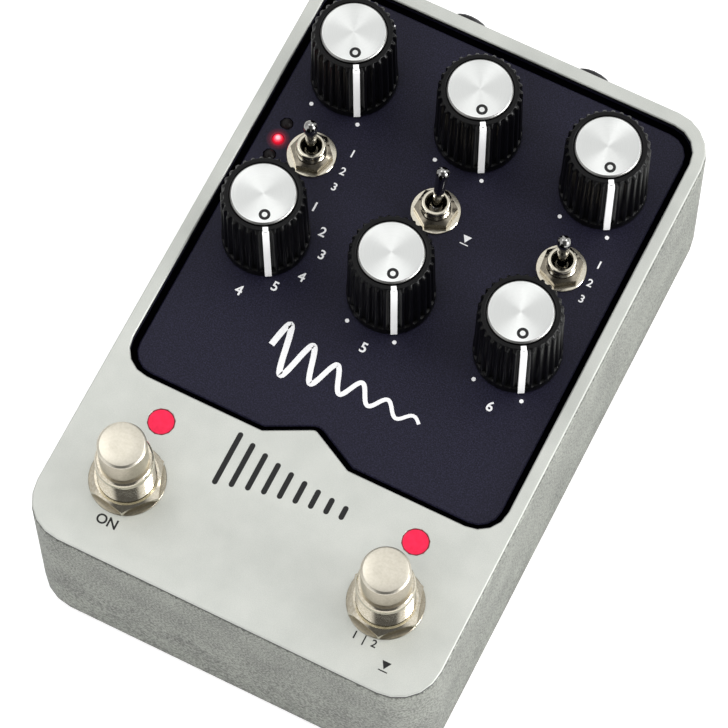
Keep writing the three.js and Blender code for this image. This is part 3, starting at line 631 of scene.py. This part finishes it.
CAP_STEPS = 128
BAR_WIDTH = 1.4
BAR_OUTER = [(9.42, -1.08), (9.42, 0.8), (9.34, 1.1), (8.99, 18.6), (8.88, 18.95), (8.6, 19.2)]
BAR_SINK = 0.6
BAR_ROUND = 0.08
STUB_WIDTH = 1.15
STUB_OUTER = [(8.42, 19.3), (8.22, 19.55), (8.02, 19.64)]
STUB_INNER = [(7.3, 19.3), (7.3, 19.64)]
STUB_ROUND = 0.05
MARK_PLACE = 4.76
MARK_OUTER = 1.2
MARK_INNER = 0.575
MARK_SINK = 0.05
MARK_STEPS = 40


def fluted(radius, depth, share):
    """The radius of the fluted skirt: rounded ridges between narrower rounded valleys."""
    away = abs((share * FLUTES + 0.5) % 1 - 0.5) * 2
    step = min(max((away - RIDGE_SHARE) / (VALLEY_SHARE - RIDGE_SHARE), 0), 1)
    return radius - depth * step * step * (3 - 2 * step)


def strip(outer, inner, width):
    """A bar on the knob's side along +X, between outer and inner (radius, height) points."""
    half = width / 2
    outline = outer + inner[::-1]
    count = len(outline)
    verts = [(x, y, z) for y in (-half, half) for x, z in outline]
    faces = [tuple(range(count)), tuple(reversed(range(count, 2 * count)))]
    return verts, faces + side_faces(count)


def make_knobs():
    grip = turned(KNOB_PROFILE, FLUTES * FLUTE_STEPS, radius_at=fluted)
    bar = strip(BAR_OUTER, [(radius - BAR_SINK, height) for radius, height in BAR_OUTER], BAR_WIDTH)
    stub = strip(STUB_OUTER, STUB_INNER, STUB_WIDTH)
    cap = turned(CAP_PROFILE, CAP_STEPS)
    low, high = CAP_TOP - MARK_SINK, CAP_TOP
    ring = turned([(MARK_INNER, low), (MARK_OUTER, low), (MARK_OUTER, high), (MARK_INNER, high)],
                  MARK_STEPS, closed=True)
    mark = moved(ring, MARK_PLACE, 0)
    turn = (0, 0, POINTER_TURN)
    for i, (x, y) in enumerate(KNOB_PLACES, 1):
        body, centre = f"rotary_{i}", place(x, y)
        make_piece(f"knob_grip_{i}", grip, "knob_black", body, centre, turn,
                   replaces=[f"knob_{i}"])
        make_piece(f"knob_pointer_{i}", bar, "pointer_white_glow", body, centre, turn,
                   bevel=BAR_ROUND)
        make_piece(f"knob_pointer_stub_{i}", stub, "pointer_white_glow", body, centre, turn,
                   bevel=STUB_ROUND)
        make_piece(f"knob_disc_{i}", cap, "spun_caps", body, centre, turn,
                   replaces=[f"knob_cap_{i}"])
        make_piece(f"knob_mark_{i}", mark, "print_black", body, centre, turn)


make_knobs()


# Hexagonal nuts, threads and switch cases
NUT_STEPS = 144
NUT_CHAMFER = 28.0
NUT_UNDERSIDE_SHARE = 0.4
NUT_SHARP = 20.0
THREAD_CREST_SHARE = 0.04
THREAD_SHARP = 30.0
MOUTH_STEPS = 6
MOUTH_FLARE = 0.3
MOUTH_FALL = 0.4
CASE_CORNER_STEPS = 4


def chamfered_nut(flats, height, bore, chamfer_radius):
    """A hexagonal nut whose upper and lower corners are turned down to chamfer_radius."""
    fall = math.tan(math.radians(NUT_CHAMFER))
    columns = []
    for i in range(NUT_STEPS):
        angle = 2 * math.pi * i / NUT_STEPS
        reach = flats / 2 / math.cos(angle % (math.pi / 3) - math.pi / 6)
        inside = min(reach, chamfer_radius)
        drop = max(0.0, reach - chamfer_radius) * fall
        points = [(bore, 0.0), (inside, 0.0), (reach, drop * NUT_UNDERSIDE_SHARE),
                  (reach, height - drop), (inside, height), (bore, height)]
        columns.append([(r * math.cos(angle), r * math.sin(angle), z) for r, z in points])
    levels = len(columns[0])
    verts = [column[level] for level in range(levels) for column in columns]
    faces = []
    for level in range(levels):
        low, high = level * NUT_STEPS, (level + 1) % levels * NUT_STEPS
        for i in range(NUT_STEPS):
            j = (i + 1) % NUT_STEPS
            faces.append((low + i, low + j, high + j, high + i))
    return verts, faces


def threaded_sleeve(crest, bore, bottom, top, pitch, depth, shoulder):
    """A sleeve with a ring thread outside and a rounded shoulder at its mouth."""
    profile = [(bore, bottom), (crest, bottom)]
    height = bottom
    while height + pitch < top - shoulder - pitch / 2:
        profile += [(crest, height + pitch * THREAD_CREST_SHARE), (crest - depth, height + pitch / 2),
                    (crest, height + pitch * (1 - THREAD_CREST_SHARE))]
        height += pitch
    for i in range(MOUTH_STEPS + 1):
        angle = math.pi / 2 * i / MOUTH_STEPS
        profile.append((crest - shoulder + shoulder * math.cos(angle),
                        top - shoulder + shoulder * math.sin(angle)))
    profile += [(bore + MOUTH_FLARE, top), (bore, top - MOUTH_FALL)]
    return turned(profile, closed=True)


def rounded_case(width, length, corner, bottom, top):
    """An upright case with rounded corners."""
    outline = []
    for quarter, (sx, sy) in enumerate(((1, 1), (-1, 1), (-1, -1), (1, -1))):
        for k in range(CASE_CORNER_STEPS + 1):
            angle = math.pi / 2 * (quarter + k / CASE_CORNER_STEPS)
            outline.append((sx * (width / 2 - corner) + corner * math.cos(angle),
                            sy * (length / 2 - corner) + corner * math.sin(angle)))
    return prism(outline, bottom, top)


# Footswitches
FOOTSWITCH_CASE_DEPTH = 14.0
FOOTSWITCH_CASE_ROUND = 0.3
BUTTON_PROFILE = [
    (0, PLUNGER_FOOT), (5.05, PLUNGER_FOOT), (5.05, PLUNGER_TOP - 0.48), (4.96, PLUNGER_TOP - 0.32),
    (4.62, PLUNGER_TOP - 0.04), (4.5, PLUNGER_TOP), (2.0, PLUNGER_TOP), (0, PLUNGER_TOP),
]
FOOTSWITCH_WASHER_PROFILE = [(6.2, -0.05), (8.0, -0.05), (8.0, 0.25), (7.9, 0.35), (6.2, 0.35)]


def make_footswitches():
    button = turned(BUTTON_PROFILE)
    sleeve = threaded_sleeve(crest=6.05, bore=5.22, bottom=DECK_BASE, top=FOOTSWITCH_MOUTH,
                             pitch=0.8, depth=0.4, shoulder=1.1)
    case = rounded_case(width=15.0, length=15.0, corner=0.8,
                        bottom=DECK_BASE - FOOTSWITCH_CASE_DEPTH, top=DECK_BASE)
    nut = chamfered_nut(flats=14.0, height=2.6, bore=6.1, chamfer_radius=6.6)
    washer = turned(FOOTSWITCH_WASHER_PROFILE, closed=True)
    for i, (x, y) in enumerate(FOOTSWITCH_PLACES, 1):
        centre, nickel = place(x, y), "footswitch_nickel"
        make_piece(f"footswitch_button_{i}", button, "button_nickel", f"plunger_{i}", centre,
                   replaces=[f"footswitch_plunger_{i}"])
        make_piece(f"footswitch_thread_{i}", sleeve, nickel, "enclosure", centre,
                   sharp=THREAD_SHARP, replaces=[f"footswitch_body_{i}"])
        make_piece(f"footswitch_case_{i}", case, "jack_black", "enclosure", centre,
                   bevel=FOOTSWITCH_CASE_ROUND)
        make_piece(f"footswitch_hexagon_{i}", nut, nickel, "enclosure", centre,
                   (0, 0, FOOTSWITCH_NUT_TURNS[i - 1]), sharp=NUT_SHARP,
                   replaces=[f"footswitch_nut_{i}"])
        make_piece(f"footswitch_washer_{i}", washer, "washer_nickel", "enclosure", centre)


make_footswitches()


# Toggles, with the lever's heights above the middle of its ball
TOGGLE_CASE_ROUND = 0.2
TOGGLE_WASHER_PROFILE = [
    (3.3, PANEL_Z), (5.2, PANEL_Z), (5.3, PANEL_Z + 0.1), (5.3, TOGGLE_NUT - 0.1), (5.2, TOGGLE_NUT),
    (3.3, TOGGLE_NUT),
]
LEVER_FOOT_PROFILE = [(0, -2.3), (0.9, -2.3)]
LEVER_BALL_RADIUS = 1.75
LEVER_BALL_ANGLES = [-59 + 11.2 * k for k in range(11)]
LEVER_STEM_PROFILE = [(1.07, 2.4), (1.1, 4.0), (1.22, 7.5), (1.4, 11.0)]
LEVER_TIP_RADIUS = 1.45
DOME_ANGLES = [10 * k for k in range(9)]
LEVER_STEPS = 64


def arc(radius, angles, height):
    """Profile points of a ball whose middle is at a height, at angles in degrees from level."""
    return [(radius * math.cos(math.radians(a)), height + radius * math.sin(math.radians(a)))
            for a in angles]


def make_toggles():
    sleeve = threaded_sleeve(crest=3.17, bore=2.07, bottom=DECK_BASE, top=TOGGLE_MOUTH,
                             pitch=0.6, depth=0.3, shoulder=0.45)
    case = rounded_case(width=7.9, length=13.0, corner=0.5, bottom=-10.8, top=-4.0)
    nut = chamfered_nut(flats=8.0, height=2.0, bore=3.2, chamfer_radius=3.45)
    washer = turned(TOGGLE_WASHER_PROFILE, closed=True)
    tip = LEVER_TOP - LEVER_PIVOT
    lever = turned(LEVER_FOOT_PROFILE + arc(LEVER_BALL_RADIUS, LEVER_BALL_ANGLES, 0.0)
                   + LEVER_STEM_PROFILE + arc(LEVER_TIP_RADIUS, DOME_ANGLES, tip - LEVER_TIP_RADIUS)
                   + [(0, tip)], LEVER_STEPS)
    for i, (x, y) in enumerate(TOGGLE_PLACES, 1):
        centre, nickel = place(x, y), "toggle_nickel"
        make_piece(f"toggle_thread_{i}", sleeve, nickel, "enclosure", centre,
                   sharp=THREAD_SHARP, replaces=[f"toggle_body_{i}"])
        make_piece(f"toggle_case_{i}", case, "jack_black", "enclosure", centre,
                   bevel=TOGGLE_CASE_ROUND)
        make_piece(f"toggle_hexagon_{i}", nut, "nut_nickel", "enclosure",
                   place(x, y, TOGGLE_NUT), (0, 0, TOGGLE_NUT_TURN * i), sharp=NUT_SHARP,
                   replaces=[f"toggle_nut_{i}"])
        make_piece(f"toggle_ring_{i}", washer, nickel, "enclosure", centre,
                   replaces=[f"toggle_washer_{i}"])
        make_piece(f"toggle_bat_{i}", lever, "lever_chrome", f"lever_{i}",
                   place(x, y, LEVER_PIVOT), (LEVER_TILTS[i - 1], 0, 0),
                   replaces=[f"toggle_lever_{i}"])


make_toggles()


# Prints on the panel and on the plate
PRINT_RISE = 0.03
PRINT_SINK = 0.05
TEXT_WEIGHT = 0.018
TEXT_STEPS = 4
DOT_CIRCLE = 10.9
DOT_ANGLES = (-60, -120)
DOT_RADIUS = 0.45
DOT_STEPS = 20
KNOB_WITHOUT_DOTS = 4
# Height of the digits, and each digit with its place
PANEL_DIGITS = [
    (2.2, [(1, -23.1, 18.15), (2, -19.0, 13.75), (3, -16.8, 9.05), (4, -18.3, 2.75), (5, -22.3, -1.65)]),
    (1.8, [(1, -21.5, 32.55), (1, 35.8, 32.75), (2, -21.5, 28.05), (2, 35.8, 28.25),
           (3, -21.5, 24.05), (3, 35.8, 24.25)]),
    (2.3, [(4, -28.6, -5.7), (5, 0.3, -5.7), (6, 29.3, -5.7)]),
    (2.1, [(1, -27.0, 62.5), (2, 1.5, 62.5), (3, 30.6, 62.5)]),
]
PANEL_TRIANGLE = (8.5, 25.45, 1.9)
PLATE_TRIANGLE = (35.2, -65.65, 2.0)
# Text, height and place
LEFT_TEXT = ("ON", 2.2, -28.8, -63.35)
RIGHT_TEXT = ("1  |  2", 2.2, 29.2, -62.65)
# A plain fading wave stands where the photograph has a name
WAVE_POINTS = 160
WAVE_START = (-17.0, -13.6)
WAVE_LENGTH = 35.0
WAVE_FALL = 2.2
WAVE_SWING = 6.4
WAVE_FADE = 1.9
WAVE_TURNS = 5.5
WAVE_WIDTHS = (1.35, 0.75)
# Plain fading bars stand where the photograph has a badge
BARS = 9
BARS_START = (-13.2, -40.4)
BARS_PITCH = 3.3
BARS_WIDTH = 1.15
BARS_HEIGHT = 12.5
BARS_FADE = 0.17
BAR_END_STEPS = 8


def flat_shape(outline, surface):
    """A thin print on a surface at a height."""
    return prism(outline, surface - PRINT_SINK, surface + PRINT_RISE)


def text_shape(text, height, x, y, surface):
    """A thin text of a height, centred on x and y."""
    data = bpy.data.curves.new("text", "FONT")
    data.body = text
    data.align_x = "CENTER"
    data.offset = TEXT_WEIGHT
    data.extrude = 0.5
    data.resolution_u = TEXT_STEPS
    made = bpy.data.objects.new("text", data)
    bpy.context.scene.collection.objects.link(made)
    mesh = bpy.data.meshes.new_from_object(made.evaluated_get(bpy.context.evaluated_depsgraph_get()))
    points = [tuple(v.co) for v in mesh.vertices]
    faces = [tuple(p.vertices) for p in mesh.polygons]
    bpy.data.objects.remove(made)
    left, right = min(p[0] for p in points), max(p[0] for p in points)
    low, high = min(p[1] for p in points), max(p[1] for p in points)
    scale = height / (high - low)
    verts = [((px - (left + right) / 2) * scale, (py - low) * scale - height / 2,
              surface + (PRINT_RISE if pz > 0 else -PRINT_SINK)) for px, py, pz in points]
    return moved((verts, faces), x, y)


def rounded_bar(x, y, width, height, surface):
    """An upright bar with round ends, centred on x and y."""
    radius, reach = width / 2, height / 2 - width / 2
    angles = [math.pi * i / BAR_END_STEPS for i in range(BAR_END_STEPS + 1)]
    top = [(x + radius * math.cos(a), y + reach + radius * math.sin(a)) for a in angles]
    bottom = [(x - radius * math.cos(a), y - reach - radius * math.sin(a)) for a in angles]
    return flat_shape(top + bottom, surface)


def stroke(points, widths, surface):
    """A line of varying width through points."""
    left, right = [], []
    for i, (x, y) in enumerate(points):
        before, after = points[max(i - 1, 0)], points[min(i + 1, len(points) - 1)]
        along = Vector((after[0] - before[0], after[1] - before[1])).normalized()
        half = widths[i] / 2
        left.append((x - along.y * half, y + along.x * half))
        right.append((x + along.y * half, y - along.x * half))
    verts, faces = [], []
    for z in (surface - PRINT_SINK, surface + PRINT_RISE):
        verts += [(x, y, z) for x, y in left + right]
    n = len(points)
    for i in range(n - 1):
        faces.append((i, i + 1, n + i + 1, n + i))
        faces.append((2 * n + i, 3 * n + i, 3 * n + i + 1, 2 * n + i + 1))
        faces.append((i, 2 * n + i, 2 * n + i + 1, i + 1))
        faces.append((n + i, n + i + 1, 3 * n + i + 1, 3 * n + i))
    faces.append((0, n, 3 * n, 2 * n))
    faces.append((n - 1, 2 * n - 1, 4 * n - 1, 3 * n - 1))
    return verts, faces


def triangle_and_bar(x, y, size, surface):
    """A pointer triangle over a short bar, as two shapes."""
    half = size / 2
    triangle = [(x - half, y + half), (x, y - size * 0.35), (x + half, y + half)]
    low, high = y - size * 0.62, y - size * 0.5
    bar = [(x - half, low), (x + half, low), (x + half, high), (x - half, high)]
    return [flat_shape(triangle, surface), flat_shape(bar, surface)]


def fading_wave():
    shares = [i / WAVE_POINTS for i in range(WAVE_POINTS + 1)]
    (x, y), (first, last) = WAVE_START, WAVE_WIDTHS
    points = []
    for share in shares:
        swing = WAVE_SWING * math.exp(-WAVE_FADE * share) * math.sin(2 * math.pi * WAVE_TURNS * share)
        points.append((x + WAVE_LENGTH * share, y - WAVE_FALL * share + swing))
    return stroke(points, [first + (last - first) * share for share in shares], PANEL_Z)


def make_prints():
    white = []
    for number, (x, y) in enumerate(KNOB_PLACES, 1):
        if number == KNOB_WITHOUT_DOTS:
            continue
        for angle in DOT_ANGLES:
            a = math.radians(angle)
            centre = x + DOT_CIRCLE * math.cos(a), y + DOT_CIRCLE * math.sin(a)
            white.append(flat_shape(circle(DOT_RADIUS, DOT_STEPS, *centre), PANEL_Z))
    for height, digits in PANEL_DIGITS:
        for digit, x, y in digits:
            white.append(text_shape(str(digit), height, x, y, PANEL_Z))
    white += triangle_and_bar(*PANEL_TRIANGLE, PANEL_Z)
    white.append(fading_wave())
    make_piece("panel_print", merged(white), "print_white", "enclosure", place(0, 0))

    black = [text_shape(*LEFT_TEXT, 0), *triangle_and_bar(*PLATE_TRIANGLE, 0),
             text_shape(*RIGHT_TEXT, 0)]
    x, y = BARS_START
    for k in range(BARS):
        height = BARS_HEIGHT * math.exp(-BARS_FADE * k)
        black.append(rounded_bar(x + BARS_PITCH * k, y, BARS_WIDTH, height, 0))
    make_piece("plate_print", merged(black), "print_black", "enclosure", place(0, 0))


make_prints()


# Lamps
STATUS_LENS_PROFILE = [
    (0, -6.8), (3.75, -6.8), (3.75, DECK_BASE), (2.75, DECK_BASE), (2.75, -0.22), (2.66, -0.12),
    (1.2, -0.12), (0, -0.12),
]
STATUS_RIM_PROFILE = [(2.66, -0.2), (2.86, -0.2), (2.86, -0.03), (2.74, -0.03), (2.66, -0.08)]
MODE_LAMP_FOOT = -9.1
MODE_LAMP_RISE = 0.9
MODE_LAMP_STEPS = 40
HALO_PROFILE = [(1.32, -0.02), (2.7, -0.02), (2.7, 0.01), (1.32, 0.01)]
LAMP_STEPS = 64


def make_status_lamps():
    lens = turned(STATUS_LENS_PROFILE, LAMP_STEPS)
    rim = turned(STATUS_RIM_PROFILE, LAMP_STEPS, closed=True)
    for i, (x, y) in enumerate(STATUS_PLACES, 1):
        make_piece(f"status_lens_{i}", lens, "status_lens", "enclosure", place(x, y),
                   replaces=[f"status_lamp_{i}"])
        make_piece(f"lamp_rim_{i}", rim, "lamp_rim", "enclosure", place(x, y))


def make_mode_lamps():
    """Three domed lamps, and the lit patch of the panel round the lit one."""
    ball = arc(MODE_LAMP_RADIUS, DOME_ANGLES, MODE_LAMP_RISE - MODE_LAMP_RADIUS)
    dome = turned([(0, MODE_LAMP_FOOT), (MODE_LAMP_RADIUS, MODE_LAMP_FOOT), *ball,
                   (0, MODE_LAMP_RISE)], MODE_LAMP_STEPS)
    halo = turned(HALO_PROFILE, LAMP_STEPS, closed=True)
    for i, (x, y) in enumerate(MODE_LAMP_PLACES, 1):
        lens = "lit_lens" if i == LIT_MODE_LAMP else "dark_lens"
        make_piece(f"mode_dome_{i}", dome, lens, "enclosure", place(x, y, PANEL_Z),
                   replaces=[f"mode_lamp_{i}"])
    make_piece(f"lamp_halo_{LIT_MODE_LAMP}", halo, "lit_halo", "enclosure",
               place(*MODE_LAMP_PLACES[LIT_MODE_LAMP - 1], PANEL_Z))


make_status_lamps()
make_mode_lamps()


# Cover screws, with heights above the floor
SCREW_TURN = 25.0
SCREW_STEPS = 48
SCREW_RIM = 2.65
SCREW_SHANK = 1.35
SCREW_FACE = 1.85
SCREW_NECK = 3.15
SCREW_TIP = 8.0
CROSS_ARM = 1.5
CROSS_HALF = 0.32
CROSS_DEPTH = 0.85
CROSS_TAPER = 0.8


def cover_screw():
    """A countersunk screw with a cross recess, its head down."""
    arm, half = CROSS_ARM, CROSS_HALF
    outline = [(arm, -half), (arm, half), (half, half), (half, arm), (-half, arm), (-half, half),
               (-arm, half), (-arm, -half), (-half, -half), (-half, -arm), (half, -arm), (half, -half)]
    mesh = bmesh.new()

    def loop(points, height):
        return [mesh.verts.new((x, y, height)) for x, y in points]

    rim = loop(circle(SCREW_RIM, SCREW_STEPS), SCREW_FACE)
    cross = loop(outline, SCREW_FACE)
    deep = loop([(x * CROSS_TAPER, y * CROSS_TAPER) for x, y in outline], SCREW_FACE + CROSS_DEPTH)
    neck = loop(circle(SCREW_SHANK, SCREW_STEPS), SCREW_NECK)
    tip = loop(circle(SCREW_SHANK, SCREW_STEPS), SCREW_TIP)
    edges = []
    for ring in (rim, cross):
        edges += [mesh.edges.new((ring[i], ring[(i + 1) % len(ring)])) for i in range(len(ring))]
    bmesh.ops.triangle_fill(mesh, use_beauty=True, edges=edges)
    for low, high in ((cross, deep), (rim, neck), (neck, tip)):
        for i in range(len(low)):
            j = (i + 1) % len(low)
            mesh.faces.new((low[i], low[j], high[j], high[i]))
    mesh.faces.new(deep)
    mesh.faces.new(tip)
    mesh.verts.index_update()
    verts = [tuple(v.co) for v in mesh.verts]
    faces = [tuple(v.index for v in f.verts) for f in mesh.faces]
    mesh.free()
    return verts, faces


def make_cover_screws():
    screw = cover_screw()
    for i, (x, y) in enumerate(SCREW_PLACES, 1):
        make_piece(f"cover_screw_{i}", screw, "screw_steel", "enclosure",
                   place(x, y, -FACE_Z), (0, 0, SCREW_TURN * i))


make_cover_screws()


# Floor, world and lamps, in metres
FLOOR_HALF = 3.0
FLOOR_DROP = 0.00002
FLOOR_COLOUR = (0.86, 0.86, 0.86, 1.0)
FLOOR_GLOW = 0.5
WHITE = (1.0, 1.0, 1.0, 1.0)
WORLD_LEVEL = 0.62
# What metal mirrors: a bright rear that fades to the sides, and a front that is dark in the middle
# and bright at both sides, by the share of each direction to the front or to the side
FRONT_BLEND = (0.0, 0.15)
REAR_SIDES = (0.0, 0.45)
REAR_LEVELS = (1.16, 0.72)
FRONT_SIDES = (0.42, 0.62)
FRONT_LEVELS = (0.13, 1.15)
# Place, width and length, power, and whether metal mirrors the lamp
LAMPS = {
    "lamp_left": ((-0.62, 0.10, 1.25), (0.55, 0.55), 1.3, True),
    "lamp_right": ((0.62, 0.62, 1.15), (0.55, 0.55), 3.15, True),
    "lamp_side": ((1.45, 0.1, 0.48), (0.6, 0.5), 13.5, True),
    "lamp_front": ((-0.05, -0.36, 0.66), (0.3, 0.3), 1.45, False),
}
LAMP_AIM = (0.0, 0.0, 0.03)


def make_floor():
    """A matte floor that keeps the object's shadow and shows the camera a whiter face."""
    mesh = bpy.data.meshes.new("floor")
    half, z = FLOOR_HALF, -FLOOR_DROP
    mesh.from_pydata([(-half, -half, z), (half, -half, z), (half, half, z), (-half, half, z)],
                     [], [(0, 1, 2, 3)])
    floor = bpy.data.objects.new("floor", mesh)
    bpy.context.scene.collection.objects.link(floor)
    made = bpy.data.materials.new("floor_white")
    made.use_nodes = True
    tree = made.node_tree
    shader = tree.nodes["Principled BSDF"]
    shader.inputs["Base Color"].default_value = FLOOR_COLOUR
    shader.inputs["Roughness"].default_value = 0.9
    shader.inputs["Specular IOR Level"].default_value = 0.1
    glow = tree.nodes.new("ShaderNodeEmission")
    glow.inputs["Strength"].default_value = FLOOR_GLOW
    both = tree.nodes.new("ShaderNodeAddShader")
    path = tree.nodes.new("ShaderNodeLightPath")
    switch = tree.nodes.new("ShaderNodeMixShader")
    tree.links.new(shader.outputs[0], both.inputs[0])
    tree.links.new(glow.outputs[0], both.inputs[1])
    tree.links.new(path.outputs["Is Camera Ray"], switch.inputs[0])
    tree.links.new(shader.outputs[0], switch.inputs[1])
    tree.links.new(both.outputs[0], switch.inputs[2])
    tree.links.new(switch.outputs[0], tree.nodes["Material Output"].inputs["Surface"])
    mesh.materials.append(made)


def make_world():
    """An even pale room, a room of its own for what metal mirrors, and white behind it all."""
    world = bpy.data.worlds.new("studio")
    world.use_nodes = True
    bpy.context.scene.world = world
    tree = world.node_tree
    direction = tree.nodes.new("ShaderNodeTexCoord")

    def along(azimuth):
        made = tree.nodes.new("ShaderNodeVectorMath")
        made.operation = "DOT_PRODUCT"
        made.inputs[1].default_value = (math.sin(azimuth), -math.cos(azimuth), 0.0)
        tree.links.new(direction.outputs["Generated"], made.inputs[0])
        return made.outputs["Value"]

    def level(value, reach, levels):
        made = tree.nodes.new("ShaderNodeMapRange")
        for title, number in zip(("From Min", "From Max", "To Min", "To Max"), (*reach, *levels)):
            made.inputs[title].default_value = number
        tree.links.new(value, made.inputs["Value"])
        return made.outputs["Result"]

    def either(path_output, no, yes):
        made = tree.nodes.new("ShaderNodeMixShader")
        tree.links.new(path.outputs[path_output], made.inputs[0])
        tree.links.new(no.outputs[0], made.inputs[1])
        tree.links.new(yes.outputs[0], made.inputs[2])
        return made

    azimuth = math.radians(CAMERA_AZIMUTH)
    aside = tree.nodes.new("ShaderNodeMath")
    aside.operation = "ABSOLUTE"
    tree.links.new(along(azimuth + math.pi / 2), aside.inputs[0])
    blend = tree.nodes.new("ShaderNodeMix")
    tree.links.new(level(along(azimuth), FRONT_BLEND, (0.0, 1.0)), blend.inputs["Factor"])
    tree.links.new(level(aside.outputs[0], REAR_SIDES, REAR_LEVELS), blend.inputs["A"])
    tree.links.new(level(aside.outputs[0], FRONT_SIDES, FRONT_LEVELS), blend.inputs["B"])

    room = tree.nodes["Background"]
    mirrored = tree.nodes.new("ShaderNodeBackground")
    white = tree.nodes.new("ShaderNodeBackground")
    room.inputs["Color"].default_value = WHITE
    room.inputs["Strength"].default_value = WORLD_LEVEL
    tree.links.new(blend.outputs["Result"], mirrored.inputs["Strength"])
    white.inputs["Color"].default_value = WHITE
    white.inputs["Strength"].default_value = 1.0
    path = tree.nodes.new("ShaderNodeLightPath")
    seen = either("Is Camera Ray", either("Is Glossy Ray", room, mirrored), white)
    tree.links.new(seen.outputs[0], tree.nodes["World Output"].inputs["Surface"])


def make_lamps():
    """Soft area lamps, aimed at the middle of the object."""
    for name, (spot, (width, length), power, mirrored) in LAMPS.items():
        data = bpy.data.lights.new(name, "AREA")
        data.shape = "RECTANGLE"
        data.size, data.size_y = width, length
        data.energy = power
        lamp = bpy.data.objects.new(name, data)
        lamp.location = spot
        lamp.rotation_euler = (Vector(LAMP_AIM) - lamp.location).to_track_quat("-Z", "Y").to_euler()
        lamp.visible_glossy = mirrored
        bpy.context.scene.collection.objects.link(lamp)


make_floor()
make_world()
make_lamps()
